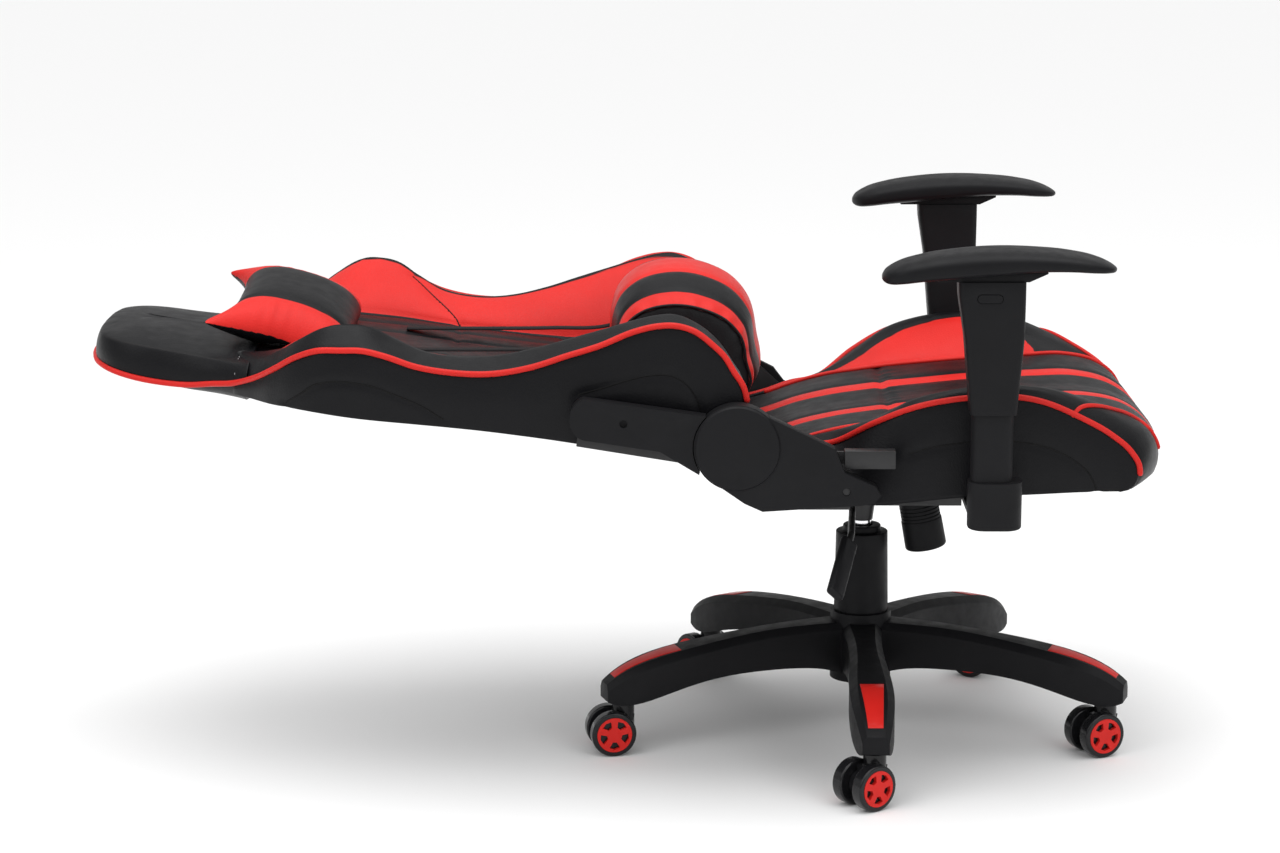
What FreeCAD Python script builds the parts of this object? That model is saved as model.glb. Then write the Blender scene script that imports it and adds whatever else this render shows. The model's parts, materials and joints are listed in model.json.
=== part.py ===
"""Gaming chair on a five-star base, stored lying back with its gas lift down.

Millimetres.  Origin on the floor under the gas lift, +X forward, +Y to the sitter's left, +Z up.
Each function makes one assembly and saves one STEP file for each of its pieces.
"""
import FreeCAD, Part
import math
import os
from FreeCAD import Vector, Rotation, Placement

os.makedirs("parts", exist_ok=True)

# ---- driving dimensions ----------------------------------------------------------------------
GAP = 0.4                      # clearance between pieces that move past each other
RUN = 0.05                     # radial clearance of a running fit
SIDES = (("right", -1), ("left", 1))

# casters and star base
WHEEL_R = 26.3
WHEEL_INNER = 9.0
WHEEL_OUTER = 24.6
CASTER_TRAIL = 15.0
CASTER_CIRCLE = 296.0          # radius of the ring of caster stems
STEM_R = 5.5
CASTER_NECK_R = 13.0
AXLE_R = 3.0
WINDOW_CORNERS = ((9, -15), (16.5, -22), (17.5, 0), (16.5, 22), (9, 15))  # radius, degrees
ARM_ANGLES = (-90.0, -18.0, 54.0, 126.0, 198.0)
CASTER_HEADINGS = (37.0, 26.0, -30.0, -52.0, 12.0)   # turn of each caster at rest, degrees
ARM_UNDERSIDE = 60.0           # underside of an arm's tip
# arm stations: distance out, bottom, top, half-width at the bottom and at the top
ARM_STATIONS = (
    (22, 71, 138, 23, 15), (90, 87, 136, 20, 12), (150, 87, 131, 21, 12),
    (225, 77, 120, 25, 16), (288, ARM_UNDERSIDE, 103, 21, 14), (319, ARM_UNDERSIDE + 4, 84, 15, 10),
)
HUB_R = 36.0
HUB_TOP = 148.0

# gas lift
COLUMN_R = 25.0
PISTON_R = 11.0
COVER_R = 30.5
COVER_TOP = 244.0
NECK_R = 22.0
NECK_TOP = 251.5
LIFT_TRAVEL = 80.0

# tilt mechanism
SOCKET_LOW = 257.5
HOUSING_LOW = 287.0
HOUSING_REAR, HOUSING_FRONT = -40.0, 112.0
HOUSING_HALF = 60.0
TILT_X, TILT_Z = 35.0, 300.0
TILT_R = 6.0
SEAT_PLATE_LOW, SEAT_PLATE_TOP = 318.0, 322.0
KNOB_TOP = Vector(66, 0, 279.5)
KNOB_AXIS = Vector(10, 0, -54).normalize()
KNOB_R = 24.5
LEVER_INNER = Vector(-14, -50, 290)
LEVER_R = 4.0

# seat
PAN_LOW, PAN_UNDER, PAN_TOP = 322.0, 336.0, 346.0   # spacer's underside, board's faces
SEAT_REAR = -150.0
SEAT_HALF = 256.0              # half-width of seat and backrest at the side panels
SEAT_PANEL_HALF = 165.0        # half-width of the flat centre of the seat
SEAT_NOSE_X = 344.0
BOARD_HALF = 234.0
FOOT_REAR, FOOT_FRONT = -110.0, -30.0   # where the hinge brackets reach in under the board

# backrest, in its own plane: u runs from the hinge towards the head, n out of its front
PIVOT_X, PIVOT_Z = -154.0, 402.0
BACK_SLOPE = math.radians(8.3)  # head end above the hinge at rest
BACK_PANEL_HALF = 150.0
SHELL_HALF = 124.0
BACK_END_U = 742.0
NECK_U = 545.0

# recliner hinge layers, outwards from the side panels
PLATE = 5.0
HINGE_DISC_R = 48.0
INNER_PLATE_Y = SEAT_HALF + 0.8
OUTER_PLATE_Y = INNER_PLATE_Y + PLATE + 6.0
COVER_OUT_Y = 287.0
SHAFT_R = 15.0
LEFT_PIN_R = 8.0

# armrests
ARM_Y = 300.0
POST_X = 122.5
CUP_X = 126.6
POST_WIDE, POST_DEEP = 45.6, 33.0
POST_TOP = 495.0
ARM_TRAVEL = 70.0
SLEEVE_LOW, SLEEVE_TOP = 446.0, 592.0
BUTTON_X = 116.0
ARM_PAD_HALF = 43.0


# ---- helpers ----------------------------------------------------------------------
def save(name, shape):
    """Write one piece, as a single solid or a group of solids, to its STEP file."""
    shape = shape.removeSplitter()
    assert shape.isValid() and shape.Volume > 0, name
    shape.exportStep("parts/%s.step" % name)


def box(x0, x1, y0, y1, z0, z1):
    return Part.makeBox(x1 - x0, y1 - y0, z1 - z0, Vector(x0, y0, z0))


def rod(start, end, radius, end_radius=None):
    """Round bar between two points; a second radius makes it a cone."""
    start, end = Vector(start), Vector(end)
    along = end - start
    if end_radius is None or end_radius == radius:
        return Part.makeCylinder(radius, along.Length, start, along)
    return Part.makeCone(radius, end_radius, along.Length, start, along)


def face_of(segments, place):
    """Face inside an outline of straight (two points) and curved (three or more) segments."""
    edges = []
    for segment in segments:
        points = [place(a, b) for a, b in segment]
        if len(points) == 2:
            edges.append(Part.LineSegment(points[0], points[1]).toShape())
        else:
            curve = Part.BSplineCurve()
            curve.interpolate(points)
            edges.append(curve.toShape())
    return Part.Face(Part.Wire(edges))


def polygon_face(points, place):
    """Face inside a closed polygon."""
    corners = [place(a, b) for a, b in points]
    return Part.Face(Part.makePolygon(corners + corners[:1]))


def side_prism(face_maker, outline, y0, y1):
    """Prism across the chair, from an outline in X and Z."""
    face = face_maker(outline, lambda x, z: Vector(x, y0, z))
    return face.extrude(Vector(0, y1 - y0, 0))


def plan_prism(face_maker, outline, z0, z1):
    """Prism upwards, from an outline in X and Y."""
    face = face_maker(outline, lambda x, y: Vector(x, y, z0))
    return face.extrude(Vector(0, 0, z1 - z0))


def turned_about_z(shape, degrees, centre=Vector(0, 0, 0)):
    copy = shape.copy()
    copy.rotate(centre, Vector(0, 0, 1), degrees)
    return copy


def mirrored(shape):
    """The same piece on the sitter's other side."""
    return shape.mirror(Vector(0, 0, 0), Vector(0, 1, 0))


def on_side(shape, side):
    """A piece drawn on the sitter's right (-Y), put on the wanted side."""
    return shape if side < 0 else mirrored(shape)


def fused(shapes):
    whole = shapes[0]
    for shape in shapes[1:]:
        whole = whole.fuse(shape)
    return whole


# ---- casters ----------------------------------------------------------------------
def caster_pieces():
    """Fork, wheel pair and caps of one caster whose stem is on the Z axis, axle along Y."""
    x = -CASTER_TRAIL
    z = WHEEL_R
    neck = rod((0, 0, 30), (0, 0, ARM_UNDERSIDE - GAP), CASTER_NECK_R)
    web = rod((x, -8, z), (x, 8, z), 15)
    brace = side_prism(polygon_face, ((x - 4, z), (x - 4, z + 22), (0, 50), (12, 46), (8, z)), -8, 8)
    fork = fused([neck, web, brace])
    for side in (-1, 1):
        near, far = side * (WHEEL_INNER - GAP), side * 40
        fork = fork.cut(rod((x, near, z), (x, far, z), WHEEL_R + 0.8))
    fork = fork.fuse(rod((0, 0, 50), (0, 0, ARM_UNDERSIDE + 24), STEM_R))
    fork = fork.cut(rod((x, -10, z), (x, 10, z), AXLE_R + RUN))

    wheels = [rod((x, -WHEEL_OUTER + 5, z), (x, WHEEL_OUTER - 5, z), AXLE_R)]
    caps = []
    for side in (-1, 1):
        tyre = rod((x, side * WHEEL_INNER, z), (x, side * WHEEL_OUTER, z), WHEEL_R)
        rim = [e for e in tyre.Edges if isinstance(e.Curve, Part.Circle)]
        tyre = tyre.makeFillet(2.5, rim)
        recess = rod((x, side * (WHEEL_OUTER - 4), z), (x, side * 30, z), 20.8)
        wheels.append(tyre.cut(recess))
        cap = rod((x, side * (WHEEL_OUTER - 4), z), (x, side * (WHEEL_OUTER + 0.6), z), 20.5)
        for window in range(5):
            wedge = [(x + r * math.cos(a), z + r * math.sin(a)) for r, a in
                     [(radius, math.radians(126 + 72 * window + turn)) for radius, turn in WINDOW_CORNERS]]
            cap = cap.cut(side_prism(polygon_face, wedge, side * 18, side * 30))
        caps.append(cap)
    return fork, fused(wheels), Part.makeCompound(caps)


def casters():
    pieces = caster_pieces()
    names = ("caster_fork", "caster_wheels", "caster_caps")
    for index, (angle, heading) in enumerate(zip(ARM_ANGLES, CASTER_HEADINGS), start=1):
        stem = Vector(CASTER_CIRCLE, 0, 0)
        stem = Rotation(Vector(0, 0, 1), angle).multVec(stem)
        for name, piece in zip(names, pieces):
            placed = piece.copy()
            placed.Placement = Placement(stem, Rotation(Vector(0, 0, 1), heading))
            save("%s_%d" % (name, index), placed)


# ---- star base and gas lift ----------------------------------------------------------------------
def arm_solid(lift):
    """One arm along +X; lift moves its whole top surface up."""
    sections = []
    for out, low, top, half_low, half_top in ARM_STATIONS:
        shoulder = top - 8 + lift
        corners = [
            Vector(out, -half_low, low), Vector(out, half_low, low), Vector(out, half_low, shoulder),
            Vector(out, half_top, top + lift), Vector(out, -half_top, top + lift),
            Vector(out, -half_low, shoulder),
        ]
        sections.append(Part.makePolygon(corners + corners[:1]))
    return Part.makeLoft(sections, True, False)


def star_base():
    arm = arm_solid(0)
    inlay_plan = ((229, -13.5), (309, -8.5), (309, 8.5), (229, 13.5))
    window = plan_prism(polygon_face, inlay_plan, 60, 160)
    inlay = window.common(arm_solid(0.6)).cut(arm_solid(-1.6))
    arm = arm.cut(inlay)
    arm = arm.cut(rod((CASTER_CIRCLE, 0, 50), (CASTER_CIRCLE, 0, ARM_UNDERSIDE + 25), STEM_R + RUN))
    arm = arm.cut(rod((CASTER_CIRCLE, 0, 50), (CASTER_CIRCLE, 0, ARM_UNDERSIDE), CASTER_NECK_R + 1))
    hub = rod((0, 0, 66), (0, 0, HUB_TOP), HUB_R)
    base = fused([hub] + [turned_about_z(arm, angle) for angle in ARM_ANGLES])
    base = base.cut(rod((0, 0, 50), (0, 0, 200), COLUMN_R))
    save("star_base", base)
    save("base_inlays", Part.makeCompound([turned_about_z(inlay, angle) for angle in ARM_ANGLES]))


def gas_lift():
    low = 70.0
    column_top = COVER_TOP - 6
    column = rod((0, 0, low), (0, 0, column_top), COLUMN_R)
    column = column.cut(rod((0, 0, low + 6), (0, 0, column_top + 10), PISTON_R + RUN))
    save("gas_column", column)
    cover = rod((0, 0, HUB_TOP), (0, 0, COVER_TOP), COVER_R + 1.5, COVER_R)
    cover = cover.fuse(rod((0, 0, COVER_TOP), (0, 0, NECK_TOP), NECK_R + 1, NECK_R))
    cover = cover.cut(rod((0, 0, HUB_TOP - 1), (0, 0, COVER_TOP - 3), COLUMN_R + 2))
    cover = cover.cut(rod((0, 0, COVER_TOP - 4), (0, 0, NECK_TOP + 1), PISTON_R + 2))
    save("lift_cover", cover)
    piston = rod((0, 0, column_top - LIFT_TRAVEL - 50), (0, 0, 294), PISTON_R)
    save("gas_piston", piston)


# ---- tilt mechanism ----------------------------------------------------------------------
def mechanism():
    half = HOUSING_HALF
    side = ((HOUSING_REAR, HOUSING_LOW), (HOUSING_FRONT, HOUSING_LOW), (HOUSING_FRONT, 306),
            (TILT_X + 15, 312), (TILT_X - 12, 310), (HOUSING_REAR, 294))
    housing = side_prism(polygon_face, side, -half, half)
    inside = side_prism(polygon_face, (
        (HOUSING_REAR + 4, HOUSING_LOW + 3), (HOUSING_FRONT - 3, HOUSING_LOW + 3),
        (HOUSING_FRONT - 3, 330), (HOUSING_REAR + 4, 330)), -half + 3, half - 3)
    housing = housing.cut(inside)
    socket = rod((0, 0, SOCKET_LOW), (0, 0, HOUSING_LOW + 1), 12.5, 16.5)
    boss = rod((0, 0, HOUSING_LOW), (0, 0, HOUSING_LOW + 12), 19)
    housing = fused([housing, socket, boss])
    housing = housing.cut(rod((0, 0, 250), (0, 0, 300), PISTON_R + RUN))
    housing = housing.cut(rod((TILT_X, -80, TILT_Z), (TILT_X, 80, TILT_Z), TILT_R + RUN))
    housing = housing.cut(rod(KNOB_TOP - KNOB_AXIS * 12, KNOB_TOP + KNOB_AXIS * 20, 6.5))
    housing = housing.cut(rod(LEVER_INNER + Vector(0, 20, 0), LEVER_INNER - Vector(0, 20, 0), LEVER_R + 1.5))
    save("mechanism_housing", housing)

    half_out = half + 0.8
    plate = box(-105, 165, -95, 95, SEAT_PLATE_LOW, SEAT_PLATE_TOP)
    for ear_y in (-half_out - 4, half_out):
        ear = side_prism(polygon_face, (
            (TILT_X - 26, SEAT_PLATE_LOW), (TILT_X + 26, SEAT_PLATE_LOW),
            (TILT_X + 10, TILT_Z - 10), (TILT_X - 10, TILT_Z - 10)), ear_y, ear_y + 4)
        plate = plate.fuse(ear)
    plate = plate.cut(rod((TILT_X, -80, TILT_Z), (TILT_X, 80, TILT_Z), TILT_R))
    save("seat_plate", plate)
    shaft = rod((TILT_X, -half_out - 6, TILT_Z), (TILT_X, half_out + 6, TILT_Z), TILT_R)
    save("tilt_shaft", shaft)


def tension_knob():
    """Ribbed spring housing under the mechanism, and the smooth drum that turns below it."""
    axis = KNOB_AXIS
    drum_start = KNOB_TOP + axis * 22
    drum_end = KNOB_TOP + axis * 57
    housing = rod(KNOB_TOP - axis * 9, drum_start - axis * GAP, KNOB_R - 1.2)
    for groove in range(4):
        low = KNOB_TOP + axis * (3.5 + 4.4 * groove)
        ring = rod(low, low + axis * 1.8, KNOB_R).cut(rod(low, low + axis * 1.8, KNOB_R - 2.6))
        housing = housing.cut(ring)
    housing = housing.cut(rod(KNOB_TOP - axis * 10, drum_start + axis, KNOB_R - 6))
    top_trim = box(0, 140, -40, 40, HOUSING_LOW - 0.2, HOUSING_LOW + 30)
    save("spring_housing", housing.cut(top_trim))
    drum = rod(drum_start, drum_end, KNOB_R - 0.5, KNOB_R)
    drum = drum.makeFillet(4, [e for e in drum.Edges if e.CenterOfMass.z < drum_end.z + 6 and e.Closed])
    drum = drum.cut(rod(drum_start - axis, drum_end - axis * 6, KNOB_R - 5))
    drum = drum.fuse(rod(KNOB_TOP + axis, drum_end - axis * 3, 5))
    save("tension_knob", drum)
    coil_radius, wire_radius = 14.0, 2.2
    helix = Part.makeHelix(8.0, 36.0, coil_radius)
    section = Part.Wire(Part.makeCircle(wire_radius, Vector(coil_radius, 0, 0), Vector(0, 1, 0)))
    spring = Part.Wire(helix.Edges).makePipeShell([section], True, True)
    spring.Placement = Placement(KNOB_TOP + axis * 7, Rotation(Vector(0, 0, 1), axis))
    save("tension_spring", spring)


def lift_lever():
    """Lever on the sitter's right that works the gas lift."""
    elbow = Vector(-24, -205, 287)
    tip = Vector(-46, -285, 237)
    bar = rod(LEVER_INNER, elbow, LEVER_R).fuse(Part.makeSphere(LEVER_R, elbow))
    down = tip - elbow
    bar = bar.fuse(rod(elbow, elbow + down * 0.2, LEVER_R))
    save("lift_lever_rod", bar)
    length = down.Length
    blade = Part.makeBox(22, length * 0.92, 10, Vector(-11, length * 0.1, -5))
    blade = blade.makeFillet(4.6, blade.Edges)
    blade.Placement = Placement(elbow, Rotation(Vector(0, 1, 0), down))
    save("lift_lever_handle", blade.cut(bar))


# ---- seat ----------------------------------------------------------------------
SEAT_TOP = ((SEAT_REAR, 366), (-110, 376), (-78, 386), (0, 402), (60, 409), (125, 415),
            (205, 419), (255, 418), (298, 408), (322, 390), (340, 366), (SEAT_NOSE_X, 350))
SEAT_NOSE = ((SEAT_NOSE_X, 350), (340, 347.5), (332, PAN_TOP + 0.3))
# side bolster stations: X, heights of the piping edge, the crest, the foot and the side panel's hem
SEAT_BOLSTER = (
    (SEAT_REAR, 366, 367, 365, 333), (-100, 383, 385, 378, 331), (-57, 399, 402, 390, 330),
    (-15, 420, 424, 399, 331), (25, 439, 444, 404, 333), (65, 450, 455, 408, 337.5),
    (105, 455, 460, 412, 341), (150, 455, 460, 416, 342.5), (190, 448, 453, 418, 344.5),
    (230, 431, 436, 418, 345.5), (262, 410, 413, 400, 346), (283, 385, 387, 375, 346),
    (292, 362, 362, 355, 346),
)


def seat_front_plan(z0, z1):
    """Plan of the seat, bowed across its front."""
    front = ((293, -SEAT_HALF), (316, -180), (337, -90), (SEAT_NOSE_X, 0), (337, 90), (316, 180),
             (293, SEAT_HALF))
    outline = [front, ((293, SEAT_HALF), (SEAT_REAR, SEAT_HALF)),
               ((SEAT_REAR, SEAT_HALF), (SEAT_REAR, -SEAT_HALF)),
               ((SEAT_REAR, -SEAT_HALF), (293, -SEAT_HALF))]
    return plan_prism(face_of, outline, z0, z1)


def seat():
    # plywood board that carries the foam, with a spacer under it for the mechanism
    board = ((-138, -BOARD_HALF), (60, -BOARD_HALF), (250, -180), (250, 180), (60, BOARD_HALF),
             (-138, BOARD_HALF))
    pan = plan_prism(polygon_face, board, PAN_UNDER, PAN_TOP)
    save("seat_pan", pan.fuse(box(-125, 185, -110, 110, PAN_LOW, PAN_UNDER)))

    low = PAN_TOP
    profile = [SEAT_TOP, SEAT_NOSE, ((332, low + 0.3), (SEAT_REAR, low + 0.3)),
               ((SEAT_REAR, low + 0.3), SEAT_TOP[0])]
    centre = side_prism(face_of, profile, -SEAT_PANEL_HALF, SEAT_PANEL_HALF)
    centre = centre.common(seat_front_plan(300, 500))
    save("seat_cushion", centre)

    inner = SEAT_PANEL_HALF + 0.3
    sections = []
    for x, piping, crest, foot, hem in SEAT_BOLSTER:
        corners = [Vector(x, -inner, low + 0.3), Vector(x, -inner, foot), Vector(x, -222, crest),
                   Vector(x, -243, crest + 1), Vector(x, -SEAT_HALF, piping),
                   Vector(x, -SEAT_HALF + 1, hem), Vector(x, -BOARD_HALF - 6, hem),
                   Vector(x, -BOARD_HALF - 0.4, low + 0.3)]
        sections.append(Part.makePolygon(corners + corners[:1]))
    bolster = Part.makeLoft(sections, True, False)
    bolster = bolster.cut(box(FOOT_REAR - GAP, FOOT_FRONT + GAP, -300, 0, 320, PAN_UNDER + GAP))
    for name, side in SIDES:
        save("seat_bolster_" + name, on_side(bolster, side))


# ---- recliner hinges ----------------------------------------------------------------------
def hinge_outline():
    """Outline of the seat-side hinge cover: a disc about the pivot, and an arm forward to its lug."""
    disc = rod((PIVOT_X, 0, PIVOT_Z), (PIVOT_X, 1, PIVOT_Z), HINGE_DISC_R)
    arm = side_prism(polygon_face, (
        (-119, 436), (-47, 401), (-36, 374), (-2, 359), (4, 349), (-3, 341), (-17, 338), (-126, 331),
        (-146, 340), (-188, 369), (-160, 410)), 0, 1)
    return disc.fuse(arm).removeSplitter()


def right_hinge():
    """Geared recliner under two plastic covers, with its release lever."""
    pivot = lambda y: (PIVOT_X, y, PIVOT_Z)
    inner0, inner1 = -INNER_PLATE_Y, -INNER_PLATE_Y - PLATE
    outer0, outer1 = -OUTER_PLATE_Y, -OUTER_PLATE_Y - PLATE

    core = rod(pivot(inner1 - GAP), pivot(outer0), 38)
    core = core.fuse(rod(pivot(inner0 + 0.2), pivot(inner1 - GAP), SHAFT_R))
    save("recliner_core", core)

    foot_low = PAN_UNDER - PLATE
    plate = side_prism(polygon_face, (
        (-150, 438), (-60, 394), (-48, 372), (-10, 360), (-8, 344), (FOOT_FRONT, foot_low + 8),
        (FOOT_FRONT, foot_low), (FOOT_REAR, foot_low), (-124, 338), (-150, 352)), outer1, outer0)
    plate = plate.fuse(rod(pivot(outer1), pivot(outer0), 40))
    plate = plate.fuse(box(FOOT_REAR, FOOT_FRONT, outer1, -205, foot_low, PAN_UNDER))
    save("seat_bracket_right", plate)

    outline = [f for f in hinge_outline().Faces if abs(f.CenterOfMass.y) < 1e-6][0]
    outline.translate(Vector(0, inner1 - 1.0, 0))
    cover = outline.extrude(Vector(0, -COVER_OUT_Y - (inner1 - 1.0) + 3, 0))
    disc_face = rod(pivot(-COVER_OUT_Y + 4), pivot(-COVER_OUT_Y), HINGE_DISC_R, HINGE_DISC_R - 2.5)
    cover = cover.fuse(disc_face)
    pocket = outline.makeOffset2D(-3.0)
    pocket.translate(Vector(0, 1, 0))
    cover = cover.cut(pocket.extrude(Vector(0, outer1 - inner1 - 3.5, 0)))
    cover = cover.cut(plate).cut(core)
    cover = cover.cut(box(FOOT_REAR - GAP, FOOT_FRONT + GAP, outer1 - GAP, -200, 320, PAN_UNDER + GAP))
    cover = cover.cut(rod((-34, -COVER_OUT_Y - 1, 353), (-34, -COVER_OUT_Y + 7, 353), 4.2))
    save("hinge_cover_right", max(cover.Solids, key=lambda s: s.Volume))
    bolt = rod((-34, -COVER_OUT_Y + 7, 353), (-34, -COVER_OUT_Y + 5, 353), 3.8)
    lever_pin = rod((-74, -INNER_PLATE_Y - 0.2, 387), (-74, outer0, 387), 4)
    save("hinge_pins", Part.makeCompound([bolt, lever_pin]))


def back_brackets():
    """Steel plates that carry the backrest frame on the recliner and on the left pin."""
    for name, side in SIDES:
        ring, bore = (34, SHAFT_R) if side < 0 else (20, LEFT_PIN_R)
        y0, y1 = -INNER_PLATE_Y - PLATE, -INNER_PLATE_Y
        bar = polygon_face(((-10, 18), (175, 6), (175, -28), (40, -30), (10, -22)),
                           lambda u, n: back_point(u, n, y0))
        plate = bar.extrude(Vector(0, PLATE, 0))
        plate = plate.fuse(rod((PIVOT_X, y0, PIVOT_Z), (PIVOT_X, y1, PIVOT_Z), ring))
        plate = plate.cut(rod((PIVOT_X, y0 - 1, PIVOT_Z), (PIVOT_X, y1 + 1, PIVOT_Z), bore + RUN))
        save("back_bracket_" + name, on_side(plate, side))


def bracket_cover():
    """Plastic cover over the right back bracket, hollowed round the hinge disc."""
    y0, y1 = -INNER_PLATE_Y - PLATE - GAP, -COVER_OUT_Y + 4
    outline = [((-323, 456), (-187, 437)), ((-187, 437), (-187, 400)), ((-187, 400), (-196, 372)),
               ((-196, 372), (-239, 398)), ((-239, 398), (-318, 410)),
               ((-318, 410), (-334, 419), (-338, 434), (-333, 449), (-323, 456))]
    cover = side_prism(face_of, outline, y1, y0)
    cover = cover.cut(rod((PIVOT_X, y1 - 1, PIVOT_Z), (PIVOT_X, y0 + 1, PIVOT_Z), HINGE_DISC_R + 1.2))
    cover = cover.cut(rod((-279, y1 - 1, 429), (-279, y1 + 5, 429), 4.5))
    save("back_cover_right", cover)


def left_hinge():
    """Plain pin hinge under a small peaked cover."""
    y0, y1 = INNER_PLATE_Y + PLATE + GAP, INNER_PLATE_Y + PLATE + GAP + PLATE
    foot_low = PAN_UNDER - PLATE
    plate = side_prism(polygon_face, (
        (-172, 412), (-140, 421), (-116, 394), (-90, 370), (FOOT_FRONT, 346), (FOOT_FRONT, foot_low),
        (FOOT_REAR, foot_low), (-150, 352)), y0, y1)
    plate = plate.fuse(rod((PIVOT_X, y0, PIVOT_Z), (PIVOT_X, y1, PIVOT_Z), 22))
    plate = plate.fuse(box(FOOT_REAR, FOOT_FRONT, 205, y1, foot_low, PAN_UNDER))
    plate = plate.fuse(rod((PIVOT_X, SEAT_HALF + 1, PIVOT_Z), (PIVOT_X, y1, PIVOT_Z), LEFT_PIN_R))
    save("seat_bracket_left", plate)
    cover = side_prism(polygon_face, (
        (-178, 404), (-172, 420), (-154, 429), (-134, 424), (-113, 397), (-97, 389), (-84, 372),
        (-50, 354), (-24, 346), (-24, 332), (-112, 330), (-152, 346), (-176, 380)), y1, y1 + 9)
    save("hinge_cover_left", cover)


def recline_lever():
    """Stamped release lever: a strap beside the seat whose front end is folded out as a grip."""
    y0 = -INNER_PLATE_Y - 0.4
    strap = box(-88, 20, y0 - 3, y0, 380, 394)
    strap = strap.fuse(rod((-74, y0 - 3, 387), (-74, y0, 387), 10))
    strap = strap.cut(rod((-74, y0 - 4, 387), (-74, y0 + 1, 387), 4 + RUN))
    grip = box(-36, 20, y0 - 17, y0, 394, 397).fuse(box(-36, 20, y0 - 17, y0 - 14, 377, 397))
    save("recline_lever", strap.fuse(grip))


# ---- backrest ----------------------------------------------------------------------
def back_point(u, n, y):
    """Point of the backrest: u from the hinge towards the head, n out of its front."""
    x = PIVOT_X - u * math.cos(BACK_SLOPE) + n * math.sin(BACK_SLOPE)
    z = PIVOT_Z + u * math.sin(BACK_SLOPE) + n * math.cos(BACK_SLOPE)
    return Vector(x, y, z)


# backrest stations: u, half-width, piping edge, crest half-width, crest, rear face inside and at the edge
BACK_BOLSTER = (
    (-4, 256, 49, 214, 52, -4, -4), (12, 256, 76, 214, 80, -22, -17), (35, 256, 99, 214, 104, -33, -19),
    (65, 256, 116, 215, 122, -35, -20), (98, 256, 118, 216, 125, -36, -20),
    (150, 256, 93, 215, 104, -37, -21), (215, 254, 60, 212, 75, -39, -25), (300, 250, 34, 206, 45, -42, -28),
    (365, 256, 34, 208, 46, -43, -30), (425, 270, 44, 232, 66, -44, -31), (465, 268, 38, 240, 64, -44, -30),
    (500, 250, 20, 220, 40, -43, -30), (NECK_U, 196, -18, 180, -10, -41, -33),
)


def back_section(u, corners):
    points = [back_point(u, n, -half) for half, n in corners]
    return Part.makePolygon(points + points[:1])


def backrest():
    panel = BACK_PANEL_HALF
    foam_rear = -43.0
    profile = [((0, 8), (60, 20), (130, 24), (230, 18), (360, 14), (470, 8), (NECK_U, -8)),
               ((NECK_U, -8), (NECK_U, foam_rear)), ((NECK_U, foam_rear), (20, foam_rear)),
               ((20, foam_rear), (0, 8))]
    face = face_of(profile, lambda u, n: back_point(u, n, -panel))
    foam = face.extrude(Vector(0, 2 * panel, 0))

    sections = []
    for u, half, piping, crest_half, crest, rear, rear_edge in BACK_BOLSTER:
        foot = min(14.0, piping - 6)
        sections.append(back_section(u, (
            (panel + 0.3, rear), (panel + 0.3, foot), (crest_half, crest), (half - 8, piping + 4),
            (half, piping), (half - 3, rear_edge))))
    bolster = Part.makeLoft(sections, True, False)
    for name, side in SIDES:
        save("back_bolster_" + name, on_side(bolster, side))

    # steel ladder frame let into the back of the foam: two uprights and three cross tubes
    tube_n, tube_r = foam_rear + 7, 8.0
    along = [rod(back_point(28, tube_n, y), back_point(535, tube_n, y), tube_r) for y in (-112, 112)]
    across = [rod(back_point(u, tube_n, -138), back_point(u, tube_n, 138), tube_r)
              for u in (45, 290, 520)]
    frame = fused(along + across)
    save("back_frame", frame)
    save("back_cushion", foam.cut(frame))
    shell = polygon_face(((22, -44.2), (NECK_U, -44.2), (NECK_U, -50), (440, -54), (300, -54),
                          (150, -50), (22, -47.2)),
                         lambda u, n: back_point(u, n, -SHELL_HALF))
    save("back_shell", shell.extrude(Vector(0, 2 * SHELL_HALF, 0)))


def headrest():
    """Round-ended head section of the backrest."""
    start = NECK_U + 0.4
    edge = ((start, -186), (580, -155), (620, -138), (665, -132), (700, -120), (726, -88),
            (738, -45), (BACK_END_U, 0), (738, 45), (726, 88), (700, 120), (665, 132), (620, 138),
            (580, 155), (start, 186))
    low_n, top_n = -54.0, 0.0
    plan = face_of([edge, ((start, 186), (start, -186))], lambda u, y: back_point(u, low_n, y))
    normal = back_point(0, 1, 0) - back_point(0, 0, 0)
    block = plan.extrude(normal * (top_n - low_n))
    profile = [((start, -10), (590, -12), (650, -7), (700, -6), (728, -14), (BACK_END_U, -34)),
               ((BACK_END_U, -34), (736, -48), (690, -53), (start, -52)), ((start, -52), (start, -10))]
    side = face_of(profile, lambda u, n: back_point(u, n, -200)).extrude(Vector(0, 400, 0))
    save("headrest", block.common(side))


def pillows():
    """Lumbar and head pillows and the lumbar pillow's two elastic straps."""
    lumbar = [((-22, 26), (-24, 46), (-14, 82), (-3, 118), (22, 141), (50, 150), (76, 152), (104, 148),
               (134, 133), (151, 112), (156, 88), (155, 60), (150, 27)), ((150, 27), (-22, 26))]
    face = face_of(lumbar, lambda u, n: back_point(u, n, -140))
    save("lumbar_pillow", face.extrude(Vector(0, 280, 0)))

    head = [((446, 22), (455, 38), (478, 56), (505, 65), (540, 68), (575, 63), (606, 50), (622, 34),
             (621, 18)), ((621, 18), (600, 0)), ((600, 0), (560, 2)), ((560, 2), (520, 10)),
            ((520, 10), (470, 13), (446, 22))]
    face = face_of(head, lambda u, n: back_point(u, n, -122))
    save("head_pillow", face.extrude(Vector(0, 244, 0)))

    straps = []
    for y in (-70, 70):
        band = polygon_face(((158.5, 45.5), (390, 13.8), (390, 15.2), (158.5, 47)),
                            lambda u, n: back_point(u, n, y - 10))
        straps.append(band.extrude(Vector(0, 20, 0)))
    save("lumbar_straps", Part.makeCompound(straps))


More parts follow.
